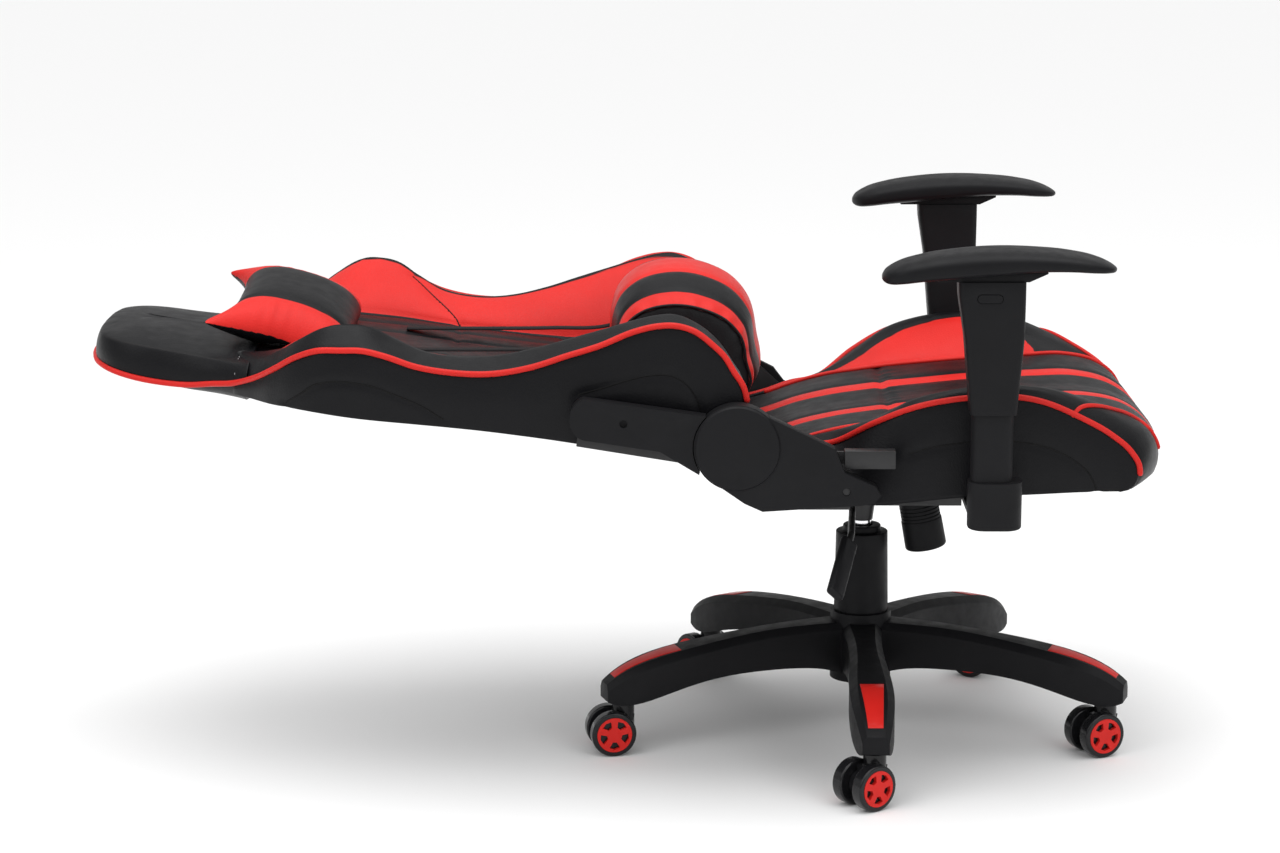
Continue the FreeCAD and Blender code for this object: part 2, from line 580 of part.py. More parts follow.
# ---- armrests ----------------------------------------------------------------------
def armrests():
    half_x, half_y = POST_WIDE / 2, POST_DEEP / 2
    y = -ARM_Y
    strut = box(POST_X - 24, POST_X + 24, y + half_y, -150, PAN_UNDER - 6.2, PAN_UNDER - 0.2)
    strut = strut.fuse(box(POST_X - 24, POST_X + 24, y + half_y, y + half_y + 6, PAN_UNDER - 6.2, 362))
    cup = box(CUP_X - 29.5, CUP_X + 29.5, y - 22, y + 22, 317.5, 370.5)
    cup = cup.makeFillet(19, [e for e in cup.Edges if abs(e.Length - 53) < 0.1])
    cup = cup.makeFillet(3, [e for e in cup.Edges if abs(e.CenterOfMass.z - 317.5) < 0.01])
    post = box(POST_X - half_x, POST_X + half_x, y - half_y, y + half_y, 330, POST_TOP)
    post = post.makeFillet(13, [e for e in post.Edges if abs(e.Length - POST_TOP + 330) < 0.1])
    post = post.fuse(cup).removeSplitter().cut(strut)

    inner_x, inner_y = half_x + GAP, half_y + GAP
    taper = []
    for z, x0, x1 in ((SLEEVE_LOW, 97.4, 147.6), (530, 90, 154.5), (575, 83, 155), (SLEEVE_TOP, 82, 155)):
        corners = [Vector(x0, y - 20, z), Vector(x1, y - 20, z), Vector(x1, y + 20, z), Vector(x0, y + 20, z)]
        taper.append(Part.makePolygon(corners + corners[:1]))
    sleeve = Part.makeLoft(taper, True, True)
    upright = [e for e in sleeve.Edges if e.BoundBox.YLength < 0.1 and e.BoundBox.ZLength > 8]
    sleeve = sleeve.makeFillet(7, upright)
    cavity_top = POST_TOP + ARM_TRAVEL + 2
    sleeve = sleeve.cut(box(POST_X - inner_x, POST_X + inner_x, y - inner_y, y + inner_y, 440, cavity_top))
    button = box(BUTTON_X - 9, BUTTON_X + 9, y - 20.6, y - 13.5, 569.5, 578.5)
    recess = box(BUTTON_X - 9, BUTTON_X + 9, y - 21, y - 10, 568.9, 579.1)
    for end in (-9, 9):
        middle = Vector(BUTTON_X + end, 0, 574)
        button = button.fuse(rod(middle + Vector(0, y - 20.6, 0), middle + Vector(0, y - 13.5, 0), 4.5))
        recess = recess.fuse(rod(middle + Vector(0, y - 21, 0), middle + Vector(0, y - 10, 0), 5.1))
    sleeve = sleeve.cut(recess)
    flange = side_prism(polygon_face, ((60, SLEEVE_TOP), (158, SLEEVE_TOP), (178, 601), (178, 603),
                                       (60, 595)), y - 17, y + 17)
    sleeve = sleeve.fuse(flange)

    top = ((0, 595), (7, 602), (20, 609.5), (42, 617), (80, 624), (122, 627), (164, 626), (205, 622),
           (240, 614), (253, 606))
    under = ((250, 602), (238, 601.5), (205, 603.6), (176, 604.4))
    heel = ((36, 592), (16, 588.5), (5, 589.5), (0, 595))
    profile = [top, ((253, 606), (250, 602)), under, ((176, 604.4), (36, 592)), heel]
    pad = side_prism(face_of, profile, y - ARM_PAD_HALF, y + ARM_PAD_HALF)
    plan_edge = ((0, -22), (10, -34), (60, -40), (125, -ARM_PAD_HALF), (200, -42), (240, -32), (253, -14))
    near = [(px, y + py) for px, py in plan_edge]
    far = [(px, y - py) for px, py in reversed(plan_edge)]
    plan = plan_prism(face_of, [near, (near[-1], far[0]), far, (far[-1], near[0])], 560, 680)
    pad = pad.common(plan).cut(flange)

    for name, side in SIDES:
        for part_name, shape in (("arm_post", post), ("arm_sleeve", sleeve), ("arm_button", button),
                                 ("arm_pad", pad)):
            save("%s_%s" % (part_name, name), on_side(shape, side))
    save("arm_struts", Part.makeCompound([on_side(strut, side) for _, side in SIDES]))


casters()
star_base()
gas_lift()
mechanism()
tension_knob()
lift_lever()
seat()
right_hinge()
back_brackets()
bracket_cover()
left_hinge()
recline_lever()
backrest()
headrest()
pillows()
armrests()
print(len(os.listdir("parts")), "pieces")
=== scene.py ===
"""Looks of a gaming chair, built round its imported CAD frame.

Tables are in millimetres and are turned into metres as meshes are made.  Axes: +X forward, +Y to the
sitter's left, +Z up.  The backrest is drawn in its own plane: u from the hinge to the head, n out of
its front.
"""
import json
import math

import bmesh
import bpy
import numpy as np
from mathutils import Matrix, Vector


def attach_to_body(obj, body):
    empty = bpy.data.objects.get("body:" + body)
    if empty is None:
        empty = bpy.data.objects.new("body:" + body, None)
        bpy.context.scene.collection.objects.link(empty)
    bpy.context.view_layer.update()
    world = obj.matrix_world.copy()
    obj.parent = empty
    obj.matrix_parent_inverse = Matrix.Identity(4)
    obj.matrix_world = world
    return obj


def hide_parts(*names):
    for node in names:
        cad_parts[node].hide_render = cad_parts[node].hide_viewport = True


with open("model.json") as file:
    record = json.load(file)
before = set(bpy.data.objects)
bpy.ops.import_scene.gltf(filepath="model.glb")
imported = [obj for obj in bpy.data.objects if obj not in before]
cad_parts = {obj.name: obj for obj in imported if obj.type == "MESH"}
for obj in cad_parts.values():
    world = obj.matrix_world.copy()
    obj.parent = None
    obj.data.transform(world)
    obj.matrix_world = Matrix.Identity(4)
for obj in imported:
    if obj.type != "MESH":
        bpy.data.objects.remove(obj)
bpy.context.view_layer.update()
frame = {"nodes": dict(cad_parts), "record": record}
MM = 0.001
NODES = frame["nodes"]
SIDES = (("right", -1), ("left", 1))
MIRROR = np.array([1, -1, 1])
PIVOT = np.array([-154.0, 0.0, 402.0])
SLOPE = math.radians(8.3)
# a seam's valley and its hold on the cloth reach this far; FAR is "no seam or colour edge near"
SEAM_REACH = 5.0
HOLD_REACH = 6.0
FAR = 9.0
CLOTH_FREE = 0.02


# ---- geometry helpers ----
def hermite(values, knots, at):
    """Smooth curve through values (rows) at rising knots, read at the wanted parameters."""
    values = np.asarray(values, float)
    knots = np.asarray(knots, float)
    step = np.diff(knots)
    slope = np.diff(values, axis=0) / step[:, None]
    tangent = np.empty_like(values)
    tangent[0], tangent[-1] = slope[0], slope[-1]
    w = (step[1:] / (step[1:] + step[:-1]))[:, None]
    tangent[1:-1] = w * slope[:-1] + (1 - w) * slope[1:]
    at = np.clip(at, knots[0], knots[-1])
    i = np.clip(np.searchsorted(knots, at, side="right") - 1, 0, len(step) - 1)
    h = step[i]
    s = ((at - knots[i]) / h)[:, None]
    h = h[:, None]
    return ((2 * s**3 - 3 * s**2 + 1) * values[i] + (s**3 - 2 * s**2 + s) * h * tangent[i]
            + (3 * s**2 - 2 * s**3) * values[i + 1] + (s**3 - s**2) * h * tangent[i + 1])


def chord_knots(points):
    gaps = np.linalg.norm(np.diff(np.asarray(points, float), axis=0), axis=1)
    return np.concatenate([[0], np.cumsum(np.maximum(gaps, 1e-6))])


def smooth_line(points, count):
    """Evenly spread points on a smooth curve through the given ones."""
    points = np.asarray(points, float)
    knots = chord_knots(points)
    dense = hermite(points, knots, np.linspace(0, knots[-1], 40 * len(points)))
    run = chord_knots(dense)
    wanted = np.linspace(0, run[-1], count)
    return np.stack([np.interp(wanted, run, dense[:, k]) for k in range(dense.shape[1])], 1)


def back_to_frame(u, n, y):
    """Backrest coordinates to the chair's, all in millimetres."""
    u, n, y = np.broadcast_arrays(np.asarray(u, float), np.asarray(n, float), np.asarray(y, float))
    x = PIVOT[0] - u * math.cos(SLOPE) + n * math.sin(SLOPE)
    z = PIVOT[2] + u * math.sin(SLOPE) + n * math.cos(SLOPE)
    return np.stack([x, y, z], -1)


def make_mesh(name, points_mm, faces, material, smooth=True):
    mesh = bpy.data.meshes.new(name)
    mesh.from_pydata((np.asarray(points_mm) * MM).tolist(), [], faces)
    mesh.update()
    obj = bpy.data.objects.new(name, mesh)
    bpy.context.scene.collection.objects.link(obj)
    mesh.materials.append(material)
    if smooth:
        mesh.polygons.foreach_set("use_smooth", np.ones(len(mesh.polygons), bool))
    return obj


def ring_faces(count, size):
    """Quads between rings of equal size that follow each other."""
    faces = []
    for i in range(count - 1):
        a, b = i * size, (i + 1) * size
        for j in range(size):
            k = (j + 1) % size
            faces.append((a + j, a + k, b + k, b + j))
    return faces


def ring_loft(name, rings, material):
    """Closed skin through rings; each end is a fan of faces to the end ring's middle."""
    rings = [np.asarray(r, float) for r in rings]
    size = len(rings[0])
    faces = ring_faces(len(rings), size)
    points = np.concatenate(rings + [rings[0].mean(0)[None], rings[-1].mean(0)[None]])
    first, last = len(rings) * size, len(rings) * size + 1
    for j in range(size):
        k = (j + 1) % size
        faces.append((first, k, j))
        faces.append((last, (len(rings) - 1) * size + j, (len(rings) - 1) * size + k))
    return make_mesh(name, points, faces, material)


def outward(obj):
    """Turn all faces outwards."""
    bm = bmesh.new()
    bm.from_mesh(obj.data)
    bmesh.ops.recalc_face_normals(bm, faces=bm.faces)
    bm.to_mesh(obj.data)
    bm.free()
    return obj


def weld_points(obj, distance_mm):
    """Join points that lie on each other, and turn all faces outwards."""
    bm = bmesh.new()
    bm.from_mesh(obj.data)
    bmesh.ops.remove_doubles(bm, verts=bm.verts, dist=distance_mm * MM)
    bmesh.ops.recalc_face_normals(bm, faces=bm.faces)
    bm.to_mesh(obj.data)
    bm.free()


def attach(piece, body):
    """A piece moves with a CAD body."""
    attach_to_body(piece, body)


def cushion(piece, body, slot, fill, *nodes):
    """A padded piece that stands for soft CAD solids."""
    attach(piece, body)
    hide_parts(*nodes)


def tube(name, points_mm, radius_mm, material, sides=10):
    """Round cord along a line, with closed, rounded ends.  The radius may be a list."""
    p = np.asarray(points_mm, float)
    radii = np.broadcast_to(np.asarray(radius_mm, float), (len(p),))
    tangent = np.gradient(p, axis=0)
    tangent /= np.linalg.norm(tangent, axis=1)[:, None]
    up = np.array([0.0, 0.0, 1.0]) if abs(tangent[0][2]) < 0.9 else np.array([1.0, 0.0, 0.0])
    rings = []
    side = np.cross(tangent[0], up)
    for i in range(len(p)):
        side = side - tangent[i] * (side @ tangent[i])
        side /= np.linalg.norm(side)
        other = np.cross(tangent[i], side)
        angles = np.arange(sides) * 2 * math.pi / sides
        circle = np.cos(angles)[:, None] * side + np.sin(angles)[:, None] * other
        if i == 0:
            rings.append(p[i] - tangent[i] * radii[i] * 0.7 + circle * radii[i] * 0.6)
        rings.append(p[i] + circle * radii[i])
        if i == len(p) - 1:
            rings.append(p[i] + tangent[i] * radii[i] * 0.7 + circle * radii[i] * 0.6)
    return outward(ring_loft(name, rings, material))


def stitches(name, points_mm, normal, material, pitch=5.5, length=3.6, radius=0.55):
    """A row of separate thread stitches along a line, standing on the surface."""
    line = np.asarray(points_mm, float)
    run = chord_knots(line)
    normal = np.asarray(normal, float)
    points, faces = [], []
    for start in np.arange(pitch / 2, run[-1] - length, pitch):
        at = np.array([start, start + length * 0.25, start + length * 0.75, start + length])
        spine = np.stack([np.interp(at, run, line[:, k]) for k in range(3)], 1)
        spine = spine + normal * radius * np.array([-0.4, 0.7, 0.7, -0.4])[:, None]
        along = spine[-1] - spine[0]
        along /= np.linalg.norm(along)
        side = np.cross(along, normal)
        side /= np.linalg.norm(side)
        base = len(points)
        for k, size in enumerate((0.5, 1.0, 1.0, 0.5)):
            for a in range(6):
                angle = a * math.pi / 3
                points.append(spine[k] + radius * size * (math.cos(angle) * side + math.sin(angle) * normal))
        for k in range(3):
            for a in range(6):
                b = (a + 1) % 6
                faces.append((base + k * 6 + a, base + k * 6 + b, base + k * 6 + 6 + b, base + k * 6 + 6 + a))
        faces.append(tuple(base + a for a in reversed(range(6))))
        faces.append(tuple(base + 18 + a for a in range(6)))
    return make_mesh(name, points, faces, material)


def set_field(obj, name, values):
    """Store one number per vertex for the material to read."""
    layer = obj.data.attributes.new(name, "FLOAT", "POINT")
    layer.data.foreach_set("value", np.asarray(values, np.float32))


def get_field(obj, name):
    out = np.empty(len(obj.data.vertices), np.float32)
    obj.data.attributes[name].data.foreach_get("value", out)
    return out


def coords(obj):
    co = np.empty(len(obj.data.vertices) * 3, np.float32)
    obj.data.vertices.foreach_get("co", co)
    return co.reshape(-1, 3).astype(float)


def set_coords(obj, co):
    obj.data.vertices.foreach_set("co", np.asarray(co, np.float32).ravel())
    obj.data.update()


def normals(obj):
    out = np.empty(len(obj.data.vertices) * 3, np.float32)
    obj.data.vertex_normals.foreach_get("vector", out)
    return out.reshape(-1, 3).astype(float)


def bell(distance, reach):
    """1 on a line, falling smoothly to nothing beyond its reach."""
    return np.exp(-(distance / reach) ** 2)


def seam_valleys(lines):
    """Sunk skin along seams: (distance, depth) pairs give the push and the nearest seam's distance."""
    push = np.zeros(len(lines[0][0]))
    seam = np.full(len(push), FAR)
    for distance, depth in lines:
        push -= depth * bell(distance, SEAM_REACH)
        seam = np.minimum(seam, distance)
    return push, seam


def paint(obj, tone, seam):
    """Store the two fields that the leatherette reads."""
    set_field(obj, "tone", np.clip(tone, -FAR, FAR))
    set_field(obj, "seam", np.clip(seam, 0, FAR))


def distance_to_line(points, line):
    """Distance in the plane from each point to a polyline."""
    points = np.asarray(points, float)
    line = np.asarray(line, float)
    best = np.full(len(points), 1e9)
    for a, b in zip(line[:-1], line[1:]):
        d = b - a
        t = np.clip(((points - a) @ d) / (d @ d), 0, 1)
        best = np.minimum(best, np.linalg.norm(points - a - t[:, None] * d, axis=1))
    return best


def inside_polygon(points, polygon):
    """Signed distance to a closed polygon: positive inside."""
    polygon = np.asarray(polygon, float)
    closed = np.vstack([polygon, polygon[:1]])
    distance = distance_to_line(points, closed)
    x, y = np.asarray(points, float).T
    inside = np.zeros(len(x), bool)
    for (x0, y0), (x1, y1) in zip(closed[:-1], closed[1:]):
        crosses = (y0 > y) != (y1 > y)
        with np.errstate(divide="ignore", invalid="ignore"):
            inside ^= crosses & (x < (x1 - x0) * (y - y0) / (y1 - y0) + x0)
    return np.where(inside, distance, -distance)


def subdivide(obj, levels=1):
    m = obj.modifiers.new("smooth", "SUBSURF")
    m.levels = m.render_levels = levels
    return obj


def apply_modifiers(obj):
    dg = bpy.context.evaluated_depsgraph_get()
    mesh = bpy.data.meshes.new_from_object(obj.evaluated_get(dg), preserve_all_data_layers=True, depsgraph=dg)
    obj.modifiers.clear()
    obj.data = mesh
    return obj


def inflate(obj, held, pressure, frames, cap_mm, stiffness=15.0):
    """Run the padded skin through a short cloth simulation and keep the result.

    held is 1 where a seam or a hidden side keeps the skin in place; cap_mm limits each point's move.
    """
    before = coords(obj)
    group = obj.vertex_groups.new(name="held")
    for weight in np.unique(np.round(held, 2)):
        chosen = np.nonzero(np.round(held, 2) == weight)[0]
        group.add(chosen.tolist(), float(weight), "REPLACE")
    cloth = obj.modifiers.new("cloth", "CLOTH")
    s = cloth.settings
    s.quality = 6
    s.mass = 0.3
    s.tension_stiffness = s.compression_stiffness = stiffness
    s.shear_stiffness = stiffness / 3
    s.bending_stiffness = 0.4
    s.use_pressure = True
    s.uniform_pressure_force = pressure
    s.effector_weights.gravity = 0
    s.vertex_group_mass = "held"
    s.pin_stiffness = 1.0
    cloth.point_cache.frame_start, cloth.point_cache.frame_end = 1, frames
    scene = bpy.context.scene
    for step in range(1, frames + 1):
        scene.frame_set(step)
    apply_modifiers(obj)
    scene.frame_set(1)
    move = coords(obj) - before
    size = np.linalg.norm(move, axis=1)
    limit = cap_mm * MM
    factor = np.where(size > 1e-9, limit * np.tanh(size / limit) / np.maximum(size, 1e-9), 1)
    set_coords(obj, before + move * factor[:, None])
    obj.vertex_groups.clear()
    return obj


def dropped(obj, points_mm, direction, lift_mm):
    """Points thrown onto a skin along a direction, then lifted off it by a little."""
    out = []
    way = Vector(direction)
    for p in points_mm:
        hit, place, normal, _ = obj.ray_cast(Vector(p) * MM, way)
        if hit:
            out.append(np.array(place) / MM + np.array(normal) * lift_mm)
    return np.array(out)


def settle(line, rounds=3):
    """Even out the small steps of a dropped line."""
    line = line.copy()
    for _ in range(rounds):
        line[1:-1] = 0.5 * line[1:-1] + 0.25 * (line[:-2] + line[2:])
    return line


# ---- materials ----
class Nodes:
    """Small helper that adds and links shader nodes."""

    def __init__(self, name):
        self.material = bpy.data.materials.new(name)
        self.material.use_nodes = True
        self.tree = self.material.node_tree
        self.shader = self.tree.nodes["Principled BSDF"]
        self.place = self.add("ShaderNodeTexCoord").outputs["Object"]

    def add(self, kind, **settings):
        node = self.tree.nodes.new(kind)
        for key, value in settings.items():
            setattr(node, key, value)
        return node

    def link(self, source, target):
        self.tree.links.new(source, target)

    def set(self, socket, value):
        """Give one of the shader's own sockets a constant."""
        self.shader.inputs[socket].default_value = value

    def feed(self, socket, source):
        """Drive one of the shader's own sockets by another node."""
        self.link(source, self.shader.inputs[socket])

    def noise(self, scale, detail=3.0, roughness=0.55):
        n = self.add("ShaderNodeTexNoise")
        n.inputs["Scale"].default_value = scale
        n.inputs["Detail"].default_value = detail
        n.inputs["Roughness"].default_value = roughness
        self.link(self.place, n.inputs["Vector"])
        return n.outputs["Fac"]

    def cells(self, scale, feature="F1", smooth=0.6):
        n = self.add("ShaderNodeTexVoronoi", feature=feature)
        n.inputs["Scale"].default_value = scale
        if feature == "SMOOTH_F1":
            n.inputs["Smoothness"].default_value = smooth
        self.link(self.place, n.inputs["Vector"])
        return n.outputs["Distance"]

    def remap(self, value, low, high, to_low, to_high):
        n = self.add("ShaderNodeMapRange")
        n.inputs["From Min"].default_value = low
        n.inputs["From Max"].default_value = high
        n.inputs["To Min"].default_value = to_low
        n.inputs["To Max"].default_value = to_high
        self.link(value, n.inputs["Value"])
        return n.outputs["Result"]

    def mix(self, factor, a, b):
        n = self.add("ShaderNodeMix", data_type="RGBA")
        self.link(factor, n.inputs["Factor"])
        for socket, value in ((n.inputs[6], a), (n.inputs[7], b)):
            if isinstance(value, tuple):
                socket.default_value = (*value, 1)
            else:
                self.link(value, socket)
        return n.outputs[2]

    def math(self, kind, a, b):
        n = self.add("ShaderNodeMath", operation=kind)
        for socket, value in ((n.inputs[0], a), (n.inputs[1], b)):
            if isinstance(value, (int, float)):
                socket.default_value = value
            else:
                self.link(value, socket)
        return n.outputs[0]

    def bump(self, height, strength, distance, after=None):
        n = self.add("ShaderNodeBump")
        n.inputs["Strength"].default_value = strength
        n.inputs["Distance"].default_value = distance
        self.link(height, n.inputs["Height"])
        if after is not None:
            self.link(after, n.inputs["Normal"])
        return n.outputs["Normal"]

    def field(self, name):
        return self.add("ShaderNodeAttribute", attribute_name=name).outputs["Fac"]


def shade(colour, amount):
    return tuple(min(1.0, c * amount) for c in colour)


BLACK = (0.0045, 0.0045, 0.0055)
RED = (0.62, 0.020, 0.016)


def upholstery(name, colour, other=None, seams=False):
    """Coated leatherette: pebble grain, soft wear in the sheen, dark seam lines.

    With another colour, the vertex field "tone" (mm, positive inside) says where it goes.
    """
    m = Nodes(name)
    broad = m.noise(9.0, 4.0)
    tint = m.mix(broad, shade(colour, 0.82), shade(colour, 1.16))
    if other is not None:
        alt = m.mix(broad, shade(other, 0.82), shade(other, 1.16))
        tint = m.mix(m.remap(m.field("tone"), -0.25, 0.25, 0.0, 1.0), tint, alt)
    if seams:
        line = m.remap(m.field("seam"), 0.35, 1.3, 1.0, 0.0)
        tint = m.mix(line, tint, (0.004, 0.003, 0.003))
    m.feed("Base Color", tint)
    m.feed("Roughness", m.remap(m.noise(55.0, 5.0), 0.3, 0.7, 0.34, 0.46))
    m.set("Specular IOR Level", 0.15)
    grain = m.cells(620.0, "SMOOTH_F1", 0.5)
    fine = m.noise(1700.0, 2.0)
    soft = m.noise(38.0, 3.0)
    normal = m.bump(soft, 0.09, 0.004)
    normal = m.bump(grain, 0.32, 0.0006, normal)
    normal = m.bump(fine, 0.12, 0.0003, normal)
    m.feed("Normal", normal)
    return m.material


def plastic(name, colour, rough, grain_scale=1500.0, grain=0.25, coat=0.0):
    """Moulded plastic with a fine spark texture and faint handling marks."""
    m = Nodes(name)
    m.feed("Base Color", m.mix(m.noise(14.0, 4.0), shade(colour, 0.8), shade(colour, 1.25)))
    m.feed("Roughness", m.remap(m.noise(70.0, 5.0), 0.3, 0.7, rough - 0.06, rough + 0.08))
    m.set("Specular IOR Level", 0.12)
    m.set("Coat Weight", coat)
    m.set("Coat Roughness", 0.12)
    normal = m.bump(m.noise(grain_scale, 3.0), grain, 0.0003)
    normal = m.bump(m.noise(22.0, 2.0), 0.05, 0.003, normal)
    m.feed("Normal", normal)
    return m.material


def metal(name, colour, rough, metallic=1.0, grain_scale=900.0, grain=0.12):
    m = Nodes(name)
    m.feed("Base Color", m.mix(m.noise(30.0, 4.0), shade(colour, 0.85), shade(colour, 1.1)))
    m.feed("Roughness", m.remap(m.noise(120.0, 5.0), 0.3, 0.7, rough * 0.8, rough * 1.25))
    m.set("Metallic", metallic)
    m.feed("Normal", m.bump(m.noise(grain_scale, 2.0), grain, 0.0003))
    return m.material


def plywood(name):
    m = Nodes(name)
    wave = m.add("ShaderNodeTexWave", wave_type="BANDS", bands_direction="Z")
    wave.inputs["Scale"].default_value = 110.0
    wave.inputs["Distortion"].default_value = 1.5
    m.link(m.place, wave.inputs["Vector"])
    m.feed("Base Color", m.mix(wave.outputs["Fac"], (0.010, 0.009, 0.008), (0.024, 0.021, 0.018)))
    m.feed("Roughness", m.remap(m.noise(90.0, 4.0), 0.3, 0.7, 0.6, 0.8))
    m.feed("Normal", m.bump(m.noise(300.0, 4.0), 0.2, 0.0005))
    return m.material


def woven(name, colour):
    """Flat elastic webbing with ribs across it."""
    m = Nodes(name)
    m.feed("Base Color", m.mix(m.noise(400.0, 2.0), shade(colour, 0.6), shade(colour, 1.5)))
    m.set("Roughness", 0.8)
    m.set("Specular IOR Level", 0.15)
    m.set("Sheen Weight", 0.03)
    wave = m.add("ShaderNodeTexWave", wave_type="BANDS", bands_direction="X")
    wave.inputs["Scale"].default_value = 260.0
    m.link(m.place, wave.inputs["Vector"])
    m.feed("Normal", m.bump(wave.outputs["Fac"], 0.5, 0.0004))
    return m.material


BLACK_SKIN = upholstery("black_leatherette", BLACK)
TWO_TONE = upholstery("black_and_red_leatherette", BLACK, RED, seams=True)
RED_SKIN = upholstery("red_leatherette", RED)
PIPING = upholstery("red_piping", (0.58, 0.020, 0.016))
BLACK_PIPING = upholstery("black_piping", (0.009, 0.009, 0.010))
SEAM = upholstery("sunk_seam", (0.003, 0.003, 0.003))
THREAD = plastic("grey_thread", (0.30, 0.30, 0.31), 0.6, 2500.0, 0.4)
WEBBING = woven("elastic_webbing", (0.006, 0.006, 0.007))

NYLON = plastic("base_nylon", (0.008, 0.008, 0.009), 0.46, 1300.0, 0.3)
COVER = plastic("cover_plastic", (0.009, 0.009, 0.010), 0.5, 1600.0, 0.35)
WHEEL = plastic("wheel_nylon", (0.008, 0.008, 0.009), 0.22, 900.0, 0.06, coat=0.4)
RED_PLASTIC = plastic("red_plastic", (0.60, 0.018, 0.014), 0.34, 900.0, 0.1, coat=0.15)
POLYURETHANE = plastic("armrest_polyurethane", (0.007, 0.007, 0.008), 0.42, 1100.0, 0.22)
STEEL_BLACK = metal("black_powder_coat", (0.014, 0.014, 0.015), 0.42, 0.15, 700.0, 0.2)
CHROME = metal("chrome_rod", (0.8, 0.8, 0.82), 0.1, 1.0, 300.0, 0.02)
STEEL = metal("bare_steel", (0.45, 0.45, 0.46), 0.35)
BOARD = plywood("seat_board")

FINISH = {
    "base_nylon": NYLON, "red_plastic": RED_PLASTIC, "wheel_nylon": WHEEL, "black_steel": STEEL_BLACK,
    "chrome_rod": CHROME, "bare_steel": STEEL, "cover_plastic": COVER, "seat_board": BOARD,
    "pad_polyurethane": POLYURETHANE, "black_upholstery": BLACK_SKIN, "red_upholstery": RED_SKIN,
    "strap_webbing": WEBBING,
}
SOFT_EDGES = {"star_base": 1.6, "arm_sleeve_right": 2.5, "arm_sleeve_left": 2.5, "hinge_cover_right": 1.6,
              "back_cover_right": 2.0, "hinge_cover_left": 1.6, "lift_cover": 1.2, "recline_lever": 0.7,
              "mechanism_housing": 0.8, "base_inlays": 0.5, "tension_knob": 0.4, "seat_bracket_right": 0.6,
              "seat_bracket_left": 0.6, "back_bracket_right": 0.6, "back_bracket_left": 0.6}


def finish_cad():
    """Give every CAD node its procedural finish and softened edges."""
    for part in frame["record"]["subparts"]:
        obj = NODES[part["node"]]
        obj.data.materials.clear()
        obj.data.materials.append(FINISH[part["material_slot"]])
        weld = obj.modifiers.new("weld", "WELD")
        weld.merge_threshold = 0.00002
        width = SOFT_EDGES.get(part["node"])
        if width:
            bevel = obj.modifiers.new("soft_edges", "BEVEL")
            bevel.width = width * MM
            bevel.segments = 3
            bevel.limit_method = "ANGLE"
            bevel.angle_limit = math.radians(35)
            bevel.harden_normals = False
        smooth_by_angle(obj, 35)


def smooth_by_angle(obj, degrees):
    """Smooth shading that keeps hard edges."""
    obj.data.polygons.foreach_set("use_smooth", np.ones(len(obj.data.polygons), bool))
    split = obj.modifiers.new("hard_edges", "EDGE_SPLIT")
    split.split_angle = math.radians(degrees)


finish_cad()


# ---- skins drawn by stations ----
def skin_grid(rows, spacing, across):
    """Sample a skin from control rows.

    rows: name -> (stations, 3) control points.  across: list of (row names, count) segments, from the
    middle of the top to the middle of the underside.  Returns points (along, across, 3), the station
    parameter of each line, and the column of each segment's start.
    """
    first = rows[across[0][0][0]]
    knots = chord_knots(np.mean([rows[k] for k in rows], axis=0))
    along = np.linspace(0, knots[-1], int(knots[-1] / spacing) + 1)
    dense = {k: hermite(v, knots, along) for k, v in rows.items()}
    columns, starts = [], []
    for names, count in across:
        starts.append(len(columns))
        lines = np.stack([dense[k] for k in names])
        length = np.linalg.norm(np.diff(lines, axis=0), axis=2).mean(1)
        row_knots = np.concatenate([[0], np.cumsum(length)])
        where = np.linspace(0, row_knots[-1], count + 1)[:-1]
        flat = hermite(lines.reshape(len(names), -1), row_knots, where)
        columns.extend(flat.reshape(len(where), len(along), 3))
    starts.append(len(columns))
    columns.append(dense[across[-1][0][-1]])
    stations = np.interp(along, knots, np.arange(len(first)))
    return np.stack(columns, 1), stations, starts


def whole_skin(name, grid, material):
    """Mirror half a skin to the other side and close it into one mesh.

    Returns the object and, for each vertex, its line and its column.
    """
    other = grid[:, 1:-1][:, ::-1] * MIRROR
    loop = np.concatenate([grid, other], axis=1)
    lines, size = loop.shape[:2]
    obj = outward(ring_loft(name, list(loop), material))
    column = np.concatenate([np.arange(grid.shape[1]), np.arange(1, grid.shape[1] - 1)[::-1]])
    line = np.repeat(np.arange(lines), size)
    return obj, np.append(line, [0, lines - 1]), np.append(np.tile(column, lines), [0, 0])


# ---- seat ----
# each row: (X, Z) or (X, half-width, Z) at the same stations, rear to nose and under
SEAT_CENTRE = [(-150, 366), (-110, 377), (-78, 388), (-40, 396), (0, 402), (40, 406.5), (80, 410.5),
               (125, 415), (165, 417.5), (205, 419), (252, 419), (296, 409), (322, 391), (339, 369),
               (343.5, 356), (341, 349), (331, 347)]
SEAT_INNER = [(-150, 165, 367), (-110, 165, 378), (-78, 165, 389.5), (-40, 165, 400), (0, 165, 406.5),
              (40, 165, 412), (80, 165, 416), (125, 165, 420), (165, 165, 422.5), (205, 165, 425),
              (252, 167, 426), (292, 170, 416), (315, 171, 397), (323, 172, 376), (322, 172, 361),
              (317, 172, 351), (304, 172, 347)]
SEAT_RIDGE = [(-150, 168, 367), (-110, 168, 378.5), (-79, 169, 389.5), (-40, 171, 400.5), (1, 180, 412),
              (40, 188, 427), (80, 198, 438), (125, 204, 446), (163, 204, 448), (200, 198, 448),
              (243, 196, 439), (282, 200, 422), (306, 203, 403), (315, 204, 381), (314, 204, 363),
              (308, 204, 352), (292, 204, 347)]
